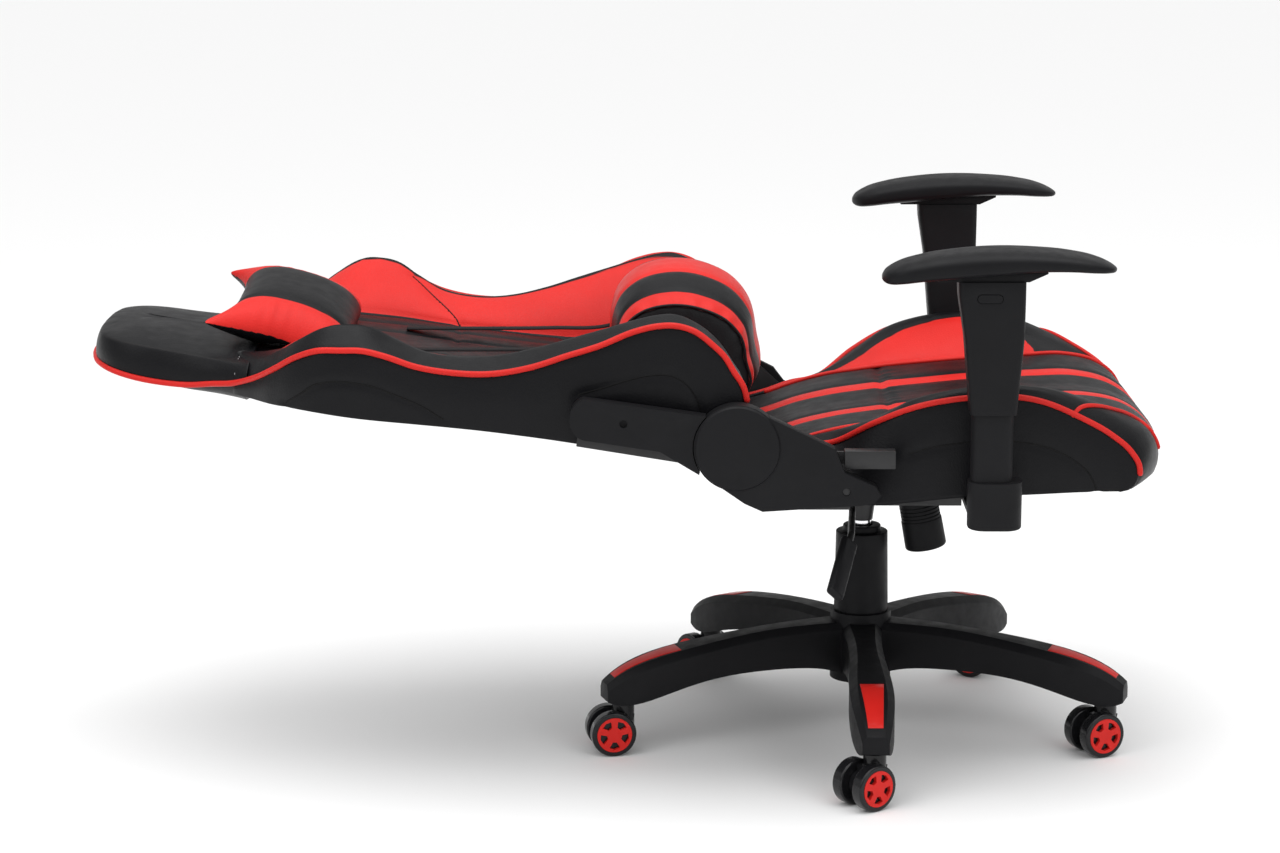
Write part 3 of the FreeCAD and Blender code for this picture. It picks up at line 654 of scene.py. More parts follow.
SEAT_CREST = [(-150, 173, 366.5), (-110, 174, 378), (-80, 176, 388), (-42, 186, 399), (3, 212, 423),
              (40, 234, 446), (80, 242, 458), (125, 244, 463), (160, 245, 463), (192, 245, 457),
              (230, 243, 441), (264, 242, 421), (288, 241, 400.5), (300, 240, 378), (298, 240, 362),
              (291, 240, 351.5), (277, 240, 347)]
SEAT_PIPING = [(-150, 366, 180), (-110, 376, 182), (-80, 386, 186), (-45, 392, 198), (-2, 419.5, 227),
               (40, 440.5, 246), (80, 450.5, 252), (125, 454.5, 253), (160, 453.5, 253), (190, 446.5, 253),
               (226, 430.5, 253), (258, 412.5, 253), (281, 393, 253), (291, 374, 253), (290, 360, 253),
               (284, 351, 253), (272, 347.5, 253)]
SEAT_UNDER = [-150, -110, -80, -45, -2, 40, 80, 125, 155, 180, 204, 224, 240, 252, 260, 265, 268]
SEAT_HEM = [(-150, 337.2), (-29, 337.2), (-21, 332), (0, 331), (26, 333), (72, 338), (106, 341), (164, 343),
            (221, 346), (262, 347.2), (290, 347.2)]
SIDE_Y = 253.0


def seat_rows():
    count = len(SEAT_CENTRE)
    rows = {"centre": [(x, 0, z) for x, z in SEAT_CENTRE], "inner": SEAT_INNER, "ridge": SEAT_RIDGE,
            "crest": SEAT_CREST, "piping": [(x, half, z) for x, z, half in SEAT_PIPING]}
    hem = np.interp(SEAT_UNDER, *np.array(SEAT_HEM, float).T)
    rows["side"] = [(0.5 * (SEAT_PIPING[i][0] + SEAT_UNDER[i]), 0.5 * (SEAT_PIPING[i][2] + SIDE_Y) + 1.5,
                     0.5 * (SEAT_PIPING[i][1] + hem[i]))
                    for i in range(count)]
    rows["edge"] = [(SEAT_UNDER[i], SIDE_Y - 1.5, hem[i]) for i in range(count)]
    rows["lip"] = [(SEAT_UNDER[i], 242, hem[i] + 0.6) for i in range(count)]
    rows["tuck"] = [(SEAT_UNDER[i] - 2, 236.5, 347.4) for i in range(count)]
    rows["under"] = [(SEAT_UNDER[i] - 2, 0, 347.2) for i in range(count)]
    return {k: np.array(v, float) * MIRROR for k, v in rows.items()}


SEAT_WEDGE = [(-52, 163), (-21, 177), (22, 200), (61, 217), (100, 226), (130, 229), (172, 227), (191, 204),
              (207, 185), (224, 163), (120, 163), (40, 163)]
SEAT_HORN = [(216, 252), (238, 236), (260, 213), (280, 191), (296, 177), (309, 171.5)]
SEAT_SEAM_X = 25.0
SEAT_STRIPE_Y = 66.0
SEAT_STRIPE_HALF = 15.0
SEAT_NOSE = 9.5
SEAT_ARC = [(37, 389), (62, 397), (92, 402), (130, 405), (166, 402), (192, 396), (215, 385), (235, 368),
            (243, 352), (246, 338)]


def seat():
    rows = seat_rows()
    across = [(("centre", "inner"), 46), (("inner", "ridge", "crest", "piping"), 32),
              (("piping", "side", "edge"), 26), (("edge", "lip"), 3), (("lip", "tuck"), 4),
              (("tuck", "under"), 10)]
    grid, stations, starts = skin_grid(rows, 4.2, across)
    obj, line, column = whole_skin("seat_upholstery", grid, TWO_TONE)
    co = coords(obj) / MM
    y = np.abs(co[:, 1])
    on_top = column <= starts[1]
    on_bolster = (column > starts[1]) & (column <= starts[2])
    on_side = (column > starts[2]) & (column <= starts[3])
    x = co[:, 0]
    station = stations[line]
    past = station > SEAT_NOSE
    width = np.interp(station, range(len(SEAT_INNER)), [row[1] for row in SEAT_INNER])
    stripe = SEAT_STRIPE_HALF - np.abs(y - SEAT_STRIPE_Y)
    tone = np.where(on_top, stripe, -FAR)
    plan = np.stack([x, y], 1)
    wedge = inside_polygon(plan, SEAT_WEDGE)
    tone = np.where(on_bolster & ~(past & (x > 240)), np.maximum(tone, wedge), tone)
    # seams, each with its own soft valley
    lines = [(np.where(on_top, np.abs(stripe), 99.0), 1.4),
             (np.where(on_top & (station < 9), np.abs(x - SEAT_SEAM_X), 99.0), 2.2),
             (np.where(on_bolster & ~past, np.abs(wedge), 99.0), 1.2),
             (np.where(on_side, distance_to_line(np.stack([x, co[:, 2]], 1), SEAT_ARC), 99.0), 1.6)]
    push, seam = seam_valleys(lines)
    # cloth gathered along the cross seam
    gather = bell(x - SEAT_SEAM_X - 9, 9.0) * on_top
    push += 0.8 * gather * np.sin(y * 0.33 + 1.5 * np.sin(y * 0.07))
    edge = np.abs(column - starts[1])
    push -= 2.4 * bell(edge, 1.7) * (station > 0.5)
    piped = np.abs(column - starts[2])
    push -= 1.6 * bell(piped, 1.3)
    # foam swells between its seams
    crown = 4.0 * np.sin(np.clip(y / width, 0, 1) * math.pi) ** 2 * on_top
    set_coords(obj, (co + normals(obj) * (push + 0.25 * crown)[:, None]) * MM)
    held = bell(np.minimum(seam, 4.0 * np.minimum(edge, piped)), HOLD_REACH)
    held = np.maximum(held, (column >= starts[3] - 2) | (line <= 1) | (line >= grid.shape[0] - 2))
    inflate(obj, np.maximum(held, CLOTH_FREE), 3.0, 12, 4.0, stiffness=25.0)
    paint(obj, tone, seam)
    cushion(obj, "seat", "black_upholstery", 0.85, "seat_cushion", "seat_bolster_right", "seat_bolster_left")
    knots = chord_knots(np.mean([rows[k] for k in rows], axis=0))
    for side, sign in SIDES:
        turn = np.array([1, -sign, 1])
        outer = hermite(rows["piping"], knots, np.linspace(0, knots[-1] * 0.965, 130)) * turn
        pipe = tube("seat_piping_" + side, outer + np.array([0, sign * 0.2, -0.3]), 3.3, PIPING)
        inner = hermite(rows["inner"], knots, np.linspace(knots[1], knots[-1] * 0.95, 120)) * turn
        thin = tube("seat_welt_" + side, inner + np.array([0, 0, -0.3]), 2.6, PIPING)
        line_points = smooth_line(SEAT_HORN, 40)
        above = np.column_stack([line_points[:, 0], sign * line_points[:, 1], np.full(40, 600.0)])
        horn = dropped(obj, above, (0, 0, -1), 0.8)
        short = tube("seat_horn_piping_" + side, settle(horn), 2.5, PIPING)
        for piece in (pipe, thin, short):
            attach(piece, "seat")
        arc = smooth_line(SEAT_ARC, 70)
        outside = np.column_stack([arc[:, 0], np.full(70, sign * 300.0), arc[:, 1]])
        groove = settle(dropped(obj, outside, (0, -sign, 0), -0.1))
        attach(tube("seat_side_seam_" + side, groove, 0.8, SEAM, 6), "seat")


seat()

# ---- backrest ----
# stations along the back: (u, n, half-width) for each row
BACK_PIPING = [(-4, 49, 253), (2, 63, 253.5), (15.5, 79, 254), (28, 94, 254), (43, 105, 254), (65, 117, 254),
               (87, 120, 254), (108, 116, 254), (128, 108, 254), (167, 85, 254), (198, 70, 253),
               (238, 50, 251), (278, 37, 250), (320, 32, 251), (363, 34, 257), (398, 42, 264),
               (422, 45, 268), (446, 42, 268), (469, 38, 265), (493, 25, 251), (517, 4, 227),
               (543, -18, 193), (566, -32, 167)]
BACK_CREST = [(-3, 52, 217), (3, 67, 217), (16, 84, 217), (29, 99, 218), (44, 111.5, 219), (66, 123, 220),
              (88, 128, 222), (108, 124, 220), (126, 117, 218), (165, 99, 217), (199, 83, 214),
              (238, 65, 208), (279, 50, 204), (320, 43, 203), (361, 45, 207), (394, 57, 216),
              (419, 66.5, 230), (443, 67.5, 238), (466, 62, 243), (492, 44, 234), (518, 20, 208),
              (543, 0, 172), (564, -9, 146)]
BACK_INNER_HALF = [150] * 17 + [150, 149, 146, 139, 126, 112]
BACK_CENTRE_N = [4, 9, 13, 16, 18, 20, 21, 21, 20, 18, 16, 14, 13, 12, 12, 12, 11, 10, 9, 6, 2, -3, -6]
BACK_REAR_N = [2, -10, -16, -21, -25, -27, -28, -28, -28, -27.5, -27, -28, -29, -30.5, -31.5, -32, -32, -32,
               -32, -34, -38, -42, -45]
BACK_MIDDLE_N = [1, -16, -28, -34, -38, -42, -44, -46, -48, -50, -51, -52, -53, -53.5, -53.5, -53.5, -53.5,
                 -53.5, -54, -54, -56, -58, -59]
BACK_ARC_HIGH = [(500, -30), (485, -16), (468, 0), (450, 6), (431, 8), (408, 7), (378, -1), (352, -9),
                 (325, -22)]
BACK_ARC_LOW = [(181, 28), (154, 40), (127, 53), (102, 62), (83, 64), (65, 57), (51, 42), (42, 22)]
# red faces between the panel seam and the crest: (u, half-width) outline
BACK_RED_EDGE = [(-4, 215), (44, 216), (88, 219), (126, 216), (165, 215), (199, 211), (238, 205), (279, 201),
                 (320, 200), (361, 204), (394, 213), (419, 227), (443, 235), (466, 240), (492, 231),
                 (510, 212)]
BACK_SLANT = [(400, 211), (330, 151)]


def back_rows():
    rows = {k: [] for k in ("centre", "inner", "crest", "piping", "side", "edge", "haunch", "rear")}
    for i, (u, n, half) in enumerate(BACK_PIPING):
        cu, cn, chalf = BACK_CREST[i]
        inner_half = BACK_INNER_HALF[i]
        rows["centre"].append((u, BACK_CENTRE_N[i], 0))
        rows["inner"].append((u, BACK_CENTRE_N[i] + 1.5, inner_half))
        rows["crest"].append((cu, cn, chalf))
        rows["piping"].append((u, n, half))
        rear_half = half - 4
        rear_u = max(u, 8 + 0.55 * (u + 4))
        rows["side"].append((0.5 * (u + rear_u), 0.5 * (n + BACK_REAR_N[i]), half + 0.8))
        rows["edge"].append((rear_u, BACK_REAR_N[i], rear_half))
        rows["haunch"].append((max(u, 20 + 0.35 * (u + 4)), BACK_MIDDLE_N[i] + 4, 0.48 * half))
        rows["rear"].append((max(u, 24 + 0.3 * (u + 4)), BACK_MIDDLE_N[i], 0))
    out = {}
    for k, v in rows.items():
        u, n, half = np.array(v, float).T
        out[k] = back_to_frame(u, n, -half)
    return out


def to_back(co_mm):
    """Chair coordinates to the backrest's (u, n)."""
    dx, dz = co_mm[:, 0] - PIVOT[0], co_mm[:, 2] - PIVOT[2]
    return (-dx * math.cos(SLOPE) + dz * math.sin(SLOPE), dx * math.sin(SLOPE) + dz * math.cos(SLOPE))


def backrest():
    rows = back_rows()
    across = [(("centre", "inner"), 34), (("inner", "crest"), 22), (("crest", "piping"), 12),
              (("piping", "side", "edge"), 28), (("edge", "haunch", "rear"), 24)]
    grid, stations, starts = skin_grid(rows, 4.4, across)
    obj, line, column = whole_skin("back_upholstery", grid, TWO_TONE)
    co = coords(obj) / MM
    u, n = to_back(co)
    y = np.abs(co[:, 1])
    station = stations[line]
    on_panel = column <= starts[1]
    on_face = (column > starts[1]) & (column <= starts[2] + 4)
    on_crest = (column > starts[2]) & (column <= starts[3])
    on_side = (column > starts[3]) & (column <= starts[4])
    on_rear = column > starts[4]
    outline = BACK_RED_EDGE + [(522, 150), (500, 149), (300, 149), (100, 149), (-8, 149)]
    red = inside_polygon(np.stack([u, y], 1), outline)
    red = np.where(u < 2, np.maximum(red, 215 - y), red)
    tone = np.where(on_face, red, -FAR)
    slant = distance_to_line(np.stack([u, y], 1), BACK_SLANT)
    panel_lines = np.minimum(np.abs(y - 52), np.abs(y - 104))
    across_seam = np.minimum(np.abs(u - 205), np.abs(u - 330))
    rear_line = np.abs(y - np.interp(u, [20, 300, 560], [185, 190, 120]))
    side_plan = np.stack([u, n], 1)
    lines = [(np.where(on_panel, panel_lines, 99.0), 2.0),
             (np.where(on_panel, across_seam, 99.0), 1.8),
             (np.where(on_face | on_crest, np.abs(red), 99.0), 1.2),
             (np.where(on_face & (u > 300), slant, 99.0), 2.0),
             (np.where(on_side, distance_to_line(side_plan, BACK_ARC_HIGH), 99.0), 1.7),
             (np.where(on_side, distance_to_line(side_plan, BACK_ARC_LOW), 99.0), 1.7),
             (np.where(on_rear, rear_line, 99.0), 1.5)]
    push, seam = seam_valleys(lines)
    edge = np.abs(column - starts[1])
    piped = np.abs(column - starts[3])
    push -= 3.0 * bell(edge, 1.8)
    push -= 1.6 * bell(piped, 1.3)
    # the bolster's inner face is full
    face_share = np.clip((column - starts[1]) / (starts[2] - starts[1]), 0, 1)
    push += 5.0 * np.sin(face_share * math.pi) * (column > starts[1]) * (column < starts[2])
    set_coords(obj, (co + normals(obj) * push[:, None]) * MM)
    held = bell(np.minimum(seam, 4.0 * np.minimum(edge, piped)), HOLD_REACH)
    held = np.maximum(held, (line <= 1) | (line >= grid.shape[0] - 2))
    held = np.maximum(held, on_side * 0.6)
    inflate(obj, np.maximum(held, CLOTH_FREE), 3.0, 12, 4.0, stiffness=25.0)
    paint(obj, tone, seam)
    cushion(obj, "back", "black_upholstery", 0.85,
            "back_cushion", "back_bolster_right", "back_bolster_left", "back_shell")
    down = back_to_frame(0, -1, 0) - back_to_frame(0, 0, 0)
    for side_name, sign in SIDES:
        slanted = smooth_line(BACK_SLANT, 50)
        above = back_to_frame(slanted[:, 0], 250, sign * slanted[:, 1])
        cords = [("back_slant_seam_", settle(dropped(obj, above, down, -0.1)))]
        for label, table in (("high", BACK_ARC_HIGH), ("low", BACK_ARC_LOW)):
            arc = smooth_line(table, 80)
            outside = back_to_frame(arc[:, 0], arc[:, 1], sign * 330)
            cords.append(("back_side_seam_%s_" % label, settle(dropped(obj, outside, (0, -sign, 0), -0.1))))
        for label, line_points in cords:
            attach(tube(label + side_name, line_points, 0.8, SEAM, 6), "back")


backrest()

# headrest: a closed pad built of outlines, from its underside up to its crown
HEAD_START = 551.0
HEAD_PIPING = [(548, 188, -21), (569, 165, -33), (593, 150, -40), (620, 140, -47), (645, 133, -50),
               (682, 127, -50), (710, 114, -48), (728, 91, -46), (738.5, 52, -44), (741.5, 0, -43)]
HEAD_TOP = [(548, 170, -6), (569, 156, -10), (593, 144, -11.5), (620, 136, -12), (645, 131, -12),
            (680, 126, -12), (709, 115, -12.5), (727, 95, -13), (735.5, 54, -12.5), (737.5, 0, -12)]


def headrest():
    count = 44
    piping = smooth_line(HEAD_PIPING, count)
    top = smooth_line(HEAD_TOP, count)
    start = HEAD_START
    for outline in (piping, top):
        outline[:, 0] = np.maximum(outline[:, 0], start)

    def ring(half_line):
        """Whole closed outline from its half, with a straight rear side."""
        left = half_line[:-1][::-1] * MIRROR
        rear_half = half_line[0][1]
        steps = np.linspace(-rear_half, rear_half, 22)[1:-1]
        rear = np.column_stack([np.full(20, start), steps, np.full(20, half_line[0][2])])
        return np.concatenate([half_line, left, rear])

    def shrunk(half_line, share, n_of):
        """The same outline drawn in towards the pad's middle line."""
        spine_u = np.clip(half_line[:, 0], start, 690)
        out = half_line.copy()
        out[:, 0] = spine_u + (half_line[:, 0] - spine_u) * share
        out[:, 1] = half_line[:, 1] * share
        out[:, 2] = n_of(half_line)
        return out

    def underside(u):
        return np.interp(u, [548, 620, 680, 742], [-60, -60, -54, -52])

    rings = []
    for share in (0.05, 0.35, 0.65, 0.85, 0.93, 0.975):
        blend = share**9
        rings.append(ring(shrunk(piping, share,
                                 lambda h, b=blend: h[:, 2] * b + (1 - b) * underside(h[:, 0]))))
    piping_ring = len(rings)
    rings.append(ring(piping))
    for share in (0.12, 0.3, 0.5, 0.7, 0.86, 0.95):
        wall = piping + (top - piping) * share
        wall[:, 1] *= 1 + 0.02 * math.sin(share * math.pi)
        wall[:, 0] = start + (wall[:, 0] - start) * (1 + 0.012 * math.sin(share * math.pi))
        rings.append(ring(wall))
    top_ring = len(rings)
    rings.append(ring(top))
    for share in (0.97, 0.93, 0.86, 0.75, 0.6, 0.42, 0.22, 0.05):
        rise = 8.0 * (1 - share**4)
        rings.append(ring(shrunk(top, share, lambda h, r=rise: h[:, 2] + r)))
    spaced = [back_to_frame(r[:, 0], r[:, 2], -r[:, 1]) for r in rings]
    obj = outward(ring_loft("headrest_pad", spaced, TWO_TONE))
    co = coords(obj) / MM
    u, n = to_back(co)
    size = len(spaced[0])
    ring_index = np.append(np.repeat(np.arange(len(spaced)), size), [0, len(spaced) - 1])
    seam = np.abs(ring_index - top_ring) * 4.0
    seam = np.where(u < start + 6, FAR, seam)
    push = -1.0 * bell(seam, 3.0)
    # soft creases that fan from the neck
    y = co[:, 1]
    push += 0.9 * np.sin(y * 0.085 + 1.3) * bell(u - 566, 16.0) * (n > -30)
    set_coords(obj, (co + normals(obj) * push[:, None]) * MM)
    held = np.maximum(bell(seam, HOLD_REACH), (u < start + 8) | (ring_index <= piping_ring))
    inflate(obj, np.maximum(held, CLOTH_FREE), 3.0, 12, 4.0, stiffness=25.0)
    subdivide(obj)
    paint(obj, np.full(len(seam), -FAR), seam)
    cushion(obj, "back", "black_upholstery", 0.8, "headrest")


headrest()


def back_piping():
    """One red piping from the hinge, over the shoulder and round the headrest, and back."""
    u, n, half = np.array(BACK_PIPING[:-1], float).T
    side = np.stack([u, half, n], 1)
    head = np.array(HEAD_PIPING, float)[1:]
    whole = np.concatenate([side, head])
    line = smooth_line(whole, 330)
    line = np.concatenate([line, line[:-1][::-1] * MIRROR])
    points = back_to_frame(line[:, 0], line[:, 2], -line[:, 1] * 1.002)
    attach(tube("back_piping", points, 3.4, PIPING), "back")
    # rows of grey thread beside the neck seam
    for side_name, sign in SIDES:
        for row, shift in enumerate((0.0, 7.0)):
            arc = np.array([(558 + shift, 139, -6.5), (559 + shift, 150, -9.5), (559 + shift, 160, -16),
                            (559 + shift, 168, -25)], float)
            dense = smooth_line(arc, 24)
            points = back_to_frame(dense[:, 0], dense[:, 2] + 1.2, sign * dense[:, 1])
            normal = np.array([0.1, sign * 0.6, 0.78])
            thread = stitches("neck_stitches_%s_%d" % (side_name, row), points, normal, THREAD)
            attach(thread, "back")


back_piping()


# ---- pillows ----
LUMBAR = [(-20, 34), (-25, 50), (-15, 82), (-3, 118), (22, 141), (50, 150.5), (76, 153), (104, 148.5),
          (134, 133.5), (151, 112), (156, 88), (153, 60), (144, 34), (104, 29), (50, 29), (0, 29.5)]
LUMBAR_HALF = 135.0
LUMBAR_END_SHARE = 0.765
LUMBAR_FOOT = np.array([64.0, 30.0])


def lumbar_pillow():
    """Firm kidney-shaped pillow in coloured bands with black end panels."""
    section = np.array(LUMBAR + LUMBAR[:1], float)
    section = smooth_line(section, 121)[:-1]
    half = LUMBAR_HALF
    ys, shares = [], []
    for y in np.linspace(-half, half, 74):
        ys.append(y)
        shares.append(1 - (1 - LUMBAR_END_SHARE) * (abs(y) / half) ** 2.2)
    for turn in (0.35, 0.7, 1.05, 1.35):
        bulge = 8.0 * math.sin(turn)
        share = LUMBAR_END_SHARE * (1 - 0.9 * (1 - math.cos(turn)))
        ys = [-half - bulge] + ys + [half + bulge]
        shares = [share] + shares + [share]

    def narrowed(outline, share):
        """The section drawn in towards the middle of its foot."""
        return LUMBAR_FOOT + (outline - LUMBAR_FOOT) * np.array([0.35 + 0.65 * share, share])

    rings = []
    for y, share in zip(ys, shares):
        r = narrowed(section, share)
        rings.append(back_to_frame(r[:, 0], np.maximum(r[:, 1], 27.5), y))
    obj = outward(ring_loft("lumbar_cushion", rings, TWO_TONE))
    co = coords(obj) / MM
    y = np.abs(co[:, 1])
    u, n = to_back(co)
    tone = np.maximum(49 - y, 14.2 - np.abs(y - 121))
    seam = np.min([np.abs(y - 49), np.abs(y - 107), np.abs(y - 135.5)], axis=0)
    held = np.maximum(bell(seam, SEAM_REACH) * 0.9, n < 36)
    push = -1.8 * bell(seam, SEAM_REACH)
    # gathered cloth beside the end seam
    around = np.arctan2(n - 58, u - 64)
    push += 1.1 * np.sin(around * 21 + 0.8 * np.sin(around * 5)) * bell(y - 125, 12.0)
    set_coords(obj, (co + normals(obj) * push[:, None]) * MM)
    inflate(obj, np.maximum(held, CLOTH_FREE), 4.0, 14, 5.0, stiffness=12.0)
    subdivide(obj)
    paint(obj, tone, seam)
    cushion(obj, "back", "red_upholstery", 0.9, "lumbar_pillow")
    for side_name, sign in SIDES:
        loop = LUMBAR_FOOT + (narrowed(section, LUMBAR_END_SHARE) - LUMBAR_FOOT) * 0.997
        loop = np.vstack([loop, loop[:1]])
        points = back_to_frame(loop[:, 0], np.maximum(loop[:, 1], 29.0), sign * (LUMBAR_HALF + 0.6))
        attach(tube("lumbar_welt_" + side_name, points, 1.6, BLACK_PIPING, 8), "back")


lumbar_pillow()


HEAD_BAND = 69.0
HEAD_LEAN = math.radians(5.2)
HEAD_MIDDLE_N = 26.0
# the backrest under the head pillow: (u, n)
HEAD_REST = [(440, 14), (470, 13), (493, 12), (517, 9), (535, 6), (545, 3), (556, 0), (640, -1)]


def head_pillow():
    """Stuffed head pillow: a bag seamed all round, with two drawn-out corners at its head end."""
    half = 118.0
    count_y, count_u = 84, 56
    a = np.sin(np.linspace(-1, 1, count_y) * math.pi / 2)
    b = np.sin(np.linspace(-1, 1, count_u) * math.pi / 2)
    A, B = np.meshgrid(a, b, indexing="ij")
    # how far the seam lies from u = 535, towards the head and towards the seat
    tip = np.clip((np.abs(A) - 0.92) / 0.08, 0, 1) ** 2
    head_side = 51.0 + 34.0 * np.abs(A) ** 4.5 - 10.0 * tip
    seat_side = 87.0 - 10.0 * np.abs(A) ** 5
    U = 535.0 + np.where(B > 0, head_side * B, seat_side * B)
    Y = half * A * (1 - 0.07 * (1 - B**2))
    corner_lift = 3.0 * np.abs(A) ** 4 * np.clip(B, 0, 1) - 12.0 * np.abs(A) ** 5 * np.clip(-B, 0, 1)
    seam_n = HEAD_MIDDLE_N + 4.0 * B + corner_lift
    height = 38.0 * (1 - np.abs(A) ** 3.8) ** 0.6 * (1 - B**2) ** 0.5 + 2.0 * (1 - B**8) * (1 - A**8)
    # soft folds that rise from the middle of each end seam
    fold = np.sin((U - 520.0) * 0.42) * bell(U - 533.0, 24.0)
    height += 1.7 * fold * bell(np.abs(A) - 0.86, 0.13) * (height > 1)
    points = np.concatenate([np.stack([U, Y, seam_n + height], -1).reshape(-1, 3),
                             np.stack([U, Y, seam_n - 0.65 * height], -1).reshape(-1, 3)])
    faces = []
    for top in (0, 1):
        base = top * count_y * count_u
        for i in range(count_y - 1):
            for j in range(count_u - 1):
                k = base + i * count_u + j
                quad = (k, k + 1, k + count_u + 1, k + count_u)
                faces.append(quad if top == 0 else quad[::-1])
    above = np.repeat([1.0, -1.0], count_y * count_u)
    # the whole pillow leans 5 degrees, its far side up, and its underside rests on the backrest
    rise = points[:, 2] - HEAD_MIDDLE_N
    y = points[:, 1] * math.cos(HEAD_LEAN) - rise * math.sin(HEAD_LEAN)
    n = HEAD_MIDDLE_N + points[:, 1] * math.sin(HEAD_LEAN) + rise * math.cos(HEAD_LEAN)
    n = np.maximum(n, np.interp(points[:, 0], *np.array(HEAD_REST, float).T))
    obj = make_mesh("head_cushion", back_to_frame(points[:, 0], n, y), faces, TWO_TONE)
    band = np.abs(points[:, 1]) - HEAD_BAND
    paint(obj, np.where(above > 0, band, -FAR), np.where(above > 0, np.abs(band), FAR))
    set_field(obj, "side", above)
    weld_points(obj, 0.05)
    near_seam = bell(get_field(obj, "seam"), SEAM_REACH)
    co = coords(obj) / MM
    set_coords(obj, (co + normals(obj) * (-1.4 * near_seam)[:, None]) * MM)
    held = np.maximum(0.6 * near_seam, get_field(obj, "side") < 0)
    inflate(obj, np.maximum(held, CLOTH_FREE), 4.0, 14, 3.0, stiffness=14.0)
    subdivide(obj)
    cushion(obj, "back", "black_upholstery", 0.75, "head_pillow")


head_pillow()


STRAP = [(148, 56), (158, 52), (220, 40.5), (300, 28), (370, 18), (392, 15)]
STRAP_Y = 70


def straps():
    """Two flat elastic straps from the lumbar pillow up the backrest."""
    count = 40
    rows = []
    for sign in (-1, 1):
        line = smooth_line(STRAP, count)
        slope = np.gradient(line, axis=0)
        slope /= np.linalg.norm(slope, axis=1)[:, None]
        away = np.stack([-slope[:, 1], slope[:, 0]], 1)
        for k in range(count):
            ring = []
            for side, lift in ((-9, -0.7), (9, -0.7), (9.6, 0), (9, 0.7), (-9, 0.7), (-9.6, 0)):
                p = line[k] + away[k] * lift
                ring.append((p[0], p[1], sign * STRAP_Y + side))
            rows.append(ring)
    points, faces = [], []
    for s in range(2):
        base = len(points)
        for ring in rows[s * count:(s + 1) * count]:
            points.extend(ring)
        faces.extend([tuple(base + i for i in f) for f in ring_faces(count, 6)])
        faces.append(tuple(base + i for i in range(6)))
        faces.append(tuple(base + (count - 1) * 6 + i for i in reversed(range(6))))
    p = np.array(points)
    obj = outward(make_mesh("lumbar_webbing", back_to_frame(p[:, 0], p[:, 1], p[:, 2]), faces, WEBBING))
    attach(obj, "back")
    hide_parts("lumbar_straps")


straps()


# ---- armrest pads ----
ARM_Y = 300
# stations from rear to front: X, half-width, underside, top
ARM_PAD = [(0.5, 9, 592, 598), (3, 17, 590, 602), (9, 26, 588.8, 606), (20, 33, 589.5, 611.5),
           (42, 38, 592.3, 617.8), (80, 41, 595.8, 624), (122, 42.5, 599.6, 627), (164, 42.5, 603.4, 626),
           (205, 41, 603.8, 622), (230, 36, 602.3, 616.8), (244, 28, 602, 611.5), (250.5, 19, 602.4, 608),
           (253, 9, 603.4, 606.4)]


def armrest_pads():
    table = np.array(ARM_PAD, float)
    dense = hermite(table, chord_knots(table[:, :1]), np.linspace(0, table[-1, 0] - table[0, 0], 64))
    for side_name, sign in SIDES:
        rings = []
        for x, half, low, top in dense:
            middle, tall = 0.5 * (low + top), 0.5 * (top - low)
            ring = []
            for k in range(40):
                angle = 2 * math.pi * k / 40
                c, s = math.cos(angle), math.sin(angle)
                across = math.copysign(abs(c) ** 0.62, c)
                upright = math.copysign(abs(s) ** (0.8 if s > 0 else 0.5), s)
                ring.append((x, sign * ARM_Y + half * across, middle + tall * upright))
            rings.append(ring)
        obj = outward(ring_loft("armrest_cushion_" + side_name, rings, POLYURETHANE))
        subdivide(obj)
        cushion(obj, "arm_slide_" + side_name, "pad_polyurethane", 1.0, "arm_pad_" + side_name)


armrest_pads()


# ---- stage ----
# the camera stands to the sitter's right, level with the head and looking down a little
CAMERA_LENS = 98.75
CAMERA_PLACE = (-0.24107, -4.04414, 1.19981)
CAMERA_DOWN = 0.202772
CAMERA_TURN = 0.005248


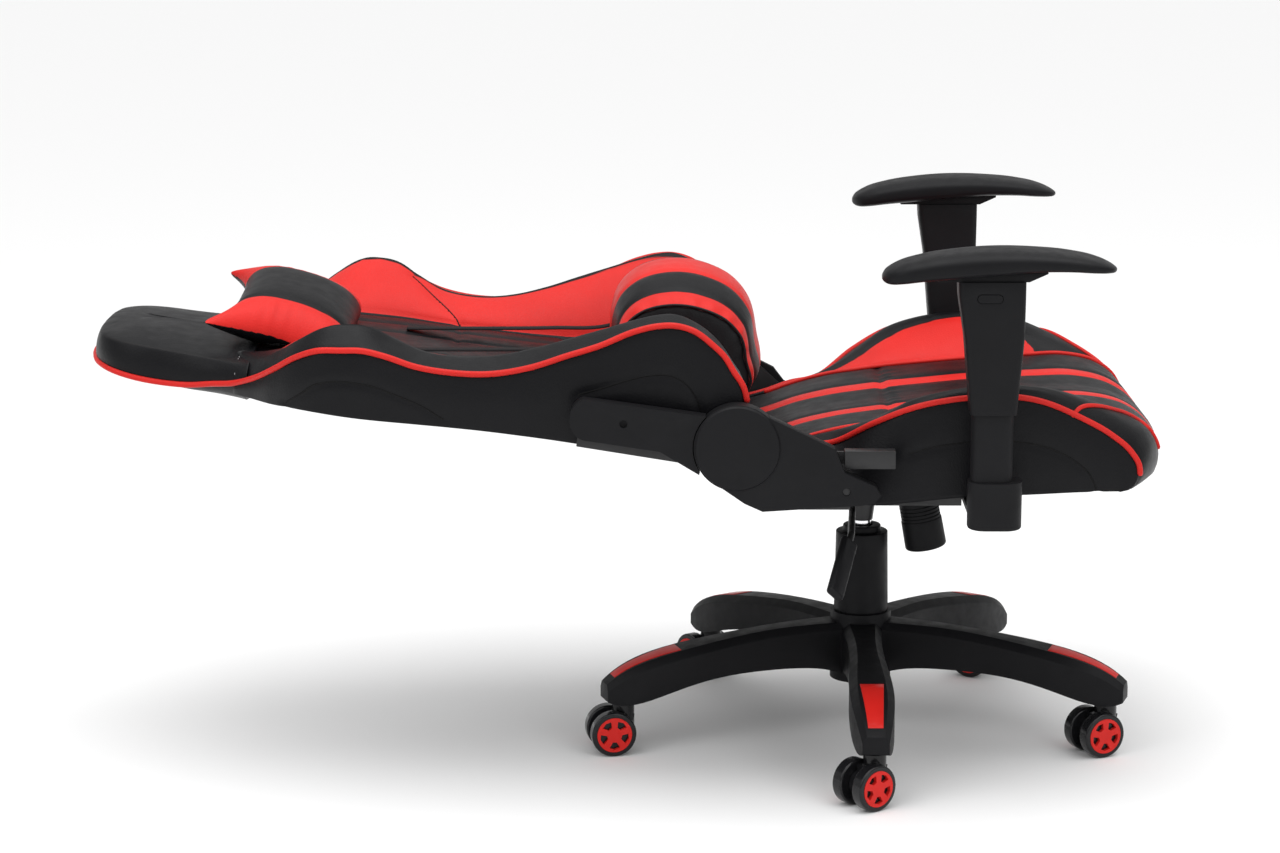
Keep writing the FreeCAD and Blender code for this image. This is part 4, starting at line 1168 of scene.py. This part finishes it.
def stage():
    size = 30.0
    mesh = bpy.data.meshes.new("floor")
    corners = [(-size, -size, 0), (size, -size, 0), (size, size, 0), (-size, size, 0)]
    mesh.from_pydata(corners, [], [(0, 1, 2, 3)])
    floor = bpy.data.objects.new("floor", mesh)
    bpy.context.scene.collection.objects.link(floor)
    m = Nodes("pale_floor")
    m.set("Base Color", (0.9, 0.9, 0.9, 1))
    m.set("Roughness", 0.9)
    m.set("Specular IOR Level", 0.1)
    mesh.materials.append(m.material)

    world = bpy.data.worlds.new("studio")
    bpy.context.scene.world = world
    world.use_nodes = True
    world.node_tree.nodes["Background"].inputs["Color"].default_value = (1, 1, 1, 1)
    world.node_tree.nodes["Background"].inputs["Strength"].default_value = 0.5

    for name, place, aim, width, height, power in (
            ("top_light", (-0.2, -0.3, 3.0), (-0.25, 0, 0.4), 3.2, 2.2, 40),
            ("front_light", (1.9, -2.9, 1.9), (0.0, 0, 0.4), 1.6, 1.6, 16),
            ("head_light", (-2.6, -2.2, 1.9), (-0.4, 0, 0.4), 1.6, 1.6, 14)):
        light = bpy.data.lights.new(name, "AREA")
        light.shape = "RECTANGLE"
        light.size, light.size_y = width, height
        light.energy = power
        obj = bpy.data.objects.new(name, light)
        obj.location = place
        obj.rotation_euler = (Vector(aim) - Vector(place)).to_track_quat("-Z", "Y").to_euler()
        bpy.context.scene.collection.objects.link(obj)

    sky = bpy.data.lights.new("ceiling_light", "SUN")
    sky.angle = math.radians(100)
    sky.energy = 1.75
    obj = bpy.data.objects.new("ceiling_light", sky)
    obj.rotation_euler = (math.radians(8), 0, 0)
    bpy.context.scene.collection.objects.link(obj)

    camera = bpy.data.cameras.new("camera")
    camera.lens = CAMERA_LENS
    camera.sensor_width = 36.0
    obj = bpy.data.objects.new("camera", camera)
    obj.location = CAMERA_PLACE
    obj.rotation_euler = (math.radians(90) - CAMERA_DOWN, 0, CAMERA_TURN)
    bpy.context.scene.collection.objects.link(obj)
    bpy.context.scene.camera = obj
    bpy.context.scene.view_settings.view_transform = "Standard"


stage()
